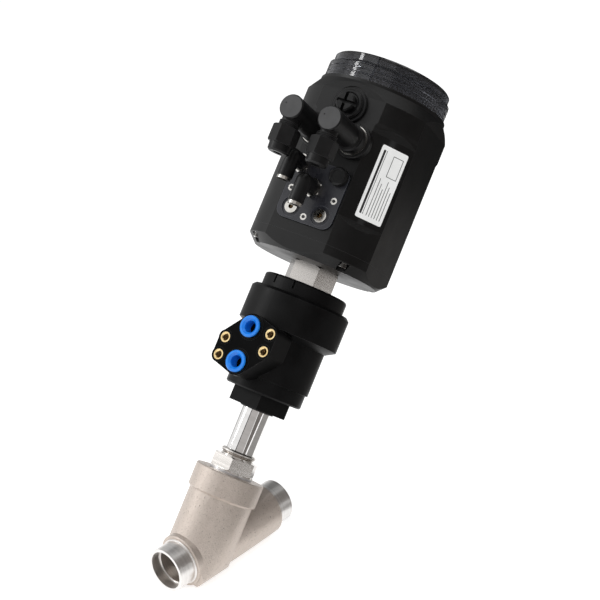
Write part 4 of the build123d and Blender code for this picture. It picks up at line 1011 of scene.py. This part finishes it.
def make_floor():
    """A square at the valve's lowest point, with a glow that only clear rays see."""
    material = bpy.data.materials.new("floor_white")
    material.use_nodes = True
    tree = material.node_tree
    shader = tree.nodes["Principled BSDF"]
    shader.inputs["Base Color"].default_value = FLOOR_COLOUR
    shader.inputs["Roughness"].default_value = 0.8
    shader.inputs["Specular IOR Level"].default_value = 0.2
    shader.inputs["Emission Color"].default_value = (1, 1, 1, 1)
    glow = math_node(tree, "MULTIPLY", seen_by(tree, *CLEAR_RAYS), FLOOR_GLOW)
    tree.links.new(glow, shader.inputs["Emission Strength"])
    half = FLOOR_HALF
    corners = [(-half, -half), (half, -half), (half, half), (-half, half)]
    flat_object("floor", [(x, y, cad_low.z) for x, y in corners], [(0, 1, 2, 3)], material)


make_floor()

# %% [markdown]
# ## Light from all around
#
# The world is an even white room. Light Path tells the rays apart: the camera, mirrors
# and glass see it at full white, while it lights surfaces at half strength, so that
# colours render about as they are written.

# %% World light
ROOM_LIGHT = 0.5


def make_world():
    """A white world that is dimmer as a light than as a background."""
    world = bpy.data.worlds.new("studio")
    bpy.context.scene.world = world
    world.use_nodes = True
    tree = world.node_tree
    light = tree.nodes["Background"]
    light.inputs["Color"].default_value = (1, 1, 1, 1)
    strength = add(tree, "ShaderNodeMapRange", To_Min=ROOM_LIGHT, To_Max=1.0)
    tree.links.new(seen_by(tree, *CLEAR_RAYS), strength.inputs["Value"])
    tree.links.new(strength.outputs[0], light.inputs["Strength"])
    print("world lights at", ROOM_LIGHT)


make_world()

# %% [markdown]
# ## Dark curtains for the reflections
#
# Polished steel and black plastic show the room more than themselves. In a white room
# they would look flat and milky, so a product studio stands dark cards beside the object.
# Here they are curtains that only reflections can see: they cast no shadow, and the
# camera looks through them. One lies just above the floor, for faces that look down.

# %% Curtains
HEAD = on_stem(POSITIONER_LOW + 60 * MM)
ARC_STEP = 6  # degrees of arc in one flat strip
# Name, first and last azimuth in degrees, lower and upper edge and radius in metres, shade.
CURTAINS = [
    ("curtain_line", -88, -83, 0.10, 1.3, 0.56, (0.02, 0.02, 0.02)),
    ("curtain_front", -83, -36, 0.10, 1.3, 0.57, (0.50, 0.48, 0.47)),
    ("curtain_right", -36, 60, 0.05, 0.8, 0.43, (0.19, 0.175, 0.165)),
    ("curtain_far", 55, 112, 0.04, 0.44, 0.32, (0.05, 0.05, 0.05)),
    ("curtain_back", 112, 150, 0.0, 1.3, 0.45, (0.14, 0.14, 0.14)),
    ("curtain_rear", 150, 200, 0.0, 1.3, 0.46, (0.55, 0.55, 0.55)),
]
FLOOR_SHEET = cad_low.z + 3 * MM


def curtain(name, start, end, lower, upper, radius, shade, inner=None):
    """An arc round the positioner, from one azimuth to another, in one shade.

    It stands upright, or lies flat where its upper edge has another radius.
    """
    material = bpy.data.materials.new(name)
    material.use_nodes = True
    tree = material.node_tree
    tree.nodes.clear()
    glow = add(tree, "ShaderNodeEmission", Color=(*shade, 1), Strength=1.0)
    tree.links.new(glow.outputs[0], add(tree, "ShaderNodeOutputMaterial").inputs["Surface"])
    material.cycles.emission_sampling = "NONE"
    steps = max(2, round((end - start) / ARC_STEP))
    points = []
    for n in range(steps + 1):
        a = radians(start + (end - start) * n / steps)
        for reach, z in ((radius, lower), (inner or radius, upper)):
            points.append((HEAD.x + reach * sin(a), HEAD.y - reach * cos(a), z))
    faces = [(2 * n, 2 * n + 2, 2 * n + 3, 2 * n + 1) for n in range(steps)]
    sheet = flat_object(name, points, faces, material)
    sheet.visible_camera = False
    sheet.visible_diffuse = False
    sheet.visible_shadow = False
    sheet.visible_transmission = False
    sheet.visible_volume_scatter = False


for row in CURTAINS:
    curtain(*row)
curtain("curtain_floor", -60, 100, FLOOR_SHEET, FLOOR_SHEET, 0.60, (0.33, 0.32, 0.31), inner=0.05)

# %% [markdown]
# ## Lamps
#
# Two large soft lamps model the shapes, the stronger one from the upper left. They stay
# out of the reflections, where the curtains do the work. A narrow strip behind the valve
# is seen in reflections, and draws one bright line on glossy pieces.

# %% Lamps
MIDDLE = (cad_low + cad_high) / 2


def backwards(azimuth, elevation):
    """The direction from the valve to something that looks at it."""
    a, e = radians(azimuth), radians(elevation)
    return Vector((sin(a) * cos(e), -cos(a) * cos(e), sin(e)))


def softbox(name, azimuth, elevation, distance, size, power, in_reflections=False):
    """A rectangular area lamp that looks at the middle of the valve."""
    lamp = bpy.data.lights.new(name, "AREA")
    lamp.shape = "RECTANGLE"
    lamp.size, lamp.size_y = size
    lamp.energy = power
    back = backwards(azimuth, elevation)
    holder = bpy.data.objects.new(name, lamp)
    holder.location = MIDDLE + back * distance
    holder.rotation_mode = "QUATERNION"
    holder.rotation_quaternion = (-back).to_track_quat("-Z", "Y")
    holder.visible_glossy = in_reflections
    bpy.context.scene.collection.objects.link(holder)
    print("lamp", name, "of", power, "watts")


softbox("key", -65, 45, 1.3, (1.2, 1.2), 8.0)
softbox("fill", 35, 25, 1.4, (1.0, 1.0), 3.0)
softbox("strip", -142, 38, 1.2, (0.12, 0.9), 3.4, in_reflections=True)

# %% [markdown]
# ## The camera
#
# It looks down at 25 degrees from the inlet's side with a long lens, so the pipe comes
# towards the viewer and the stem leans away to the right.

# %% Camera
AZIMUTH, ELEVATION, ROLL = -47.4, 25.0, -1.8
DISTANCE = 0.860
LENS, SENSOR = 78.0, 36.0
AIM_HEIGHT = 0.176
AIM_SHIFT = Vector((-0.0097, -0.009, 0.0092))


def make_camera():
    """A camera that looks at a point near the stem, with a slight roll."""
    data = bpy.data.cameras.new("camera")
    data.lens = LENS
    data.sensor_width = SENSOR
    camera = bpy.data.objects.new("camera", data)
    back = backwards(AZIMUTH, ELEVATION)
    camera.location = on_stem(AIM_HEIGHT) + AIM_SHIFT + back * DISTANCE
    turn = (-back).to_track_quat("-Z", "Y")
    camera.rotation_mode = "QUATERNION"
    camera.rotation_quaternion = turn @ Matrix.Rotation(radians(ROLL), 3, "Z").to_quaternion()
    bpy.context.scene.collection.objects.link(camera)
    bpy.context.scene.camera = camera
    print("camera stands at", [round(v, 3) for v in camera.location])


make_camera()
bpy.context.scene.view_settings.view_transform = "Standard"
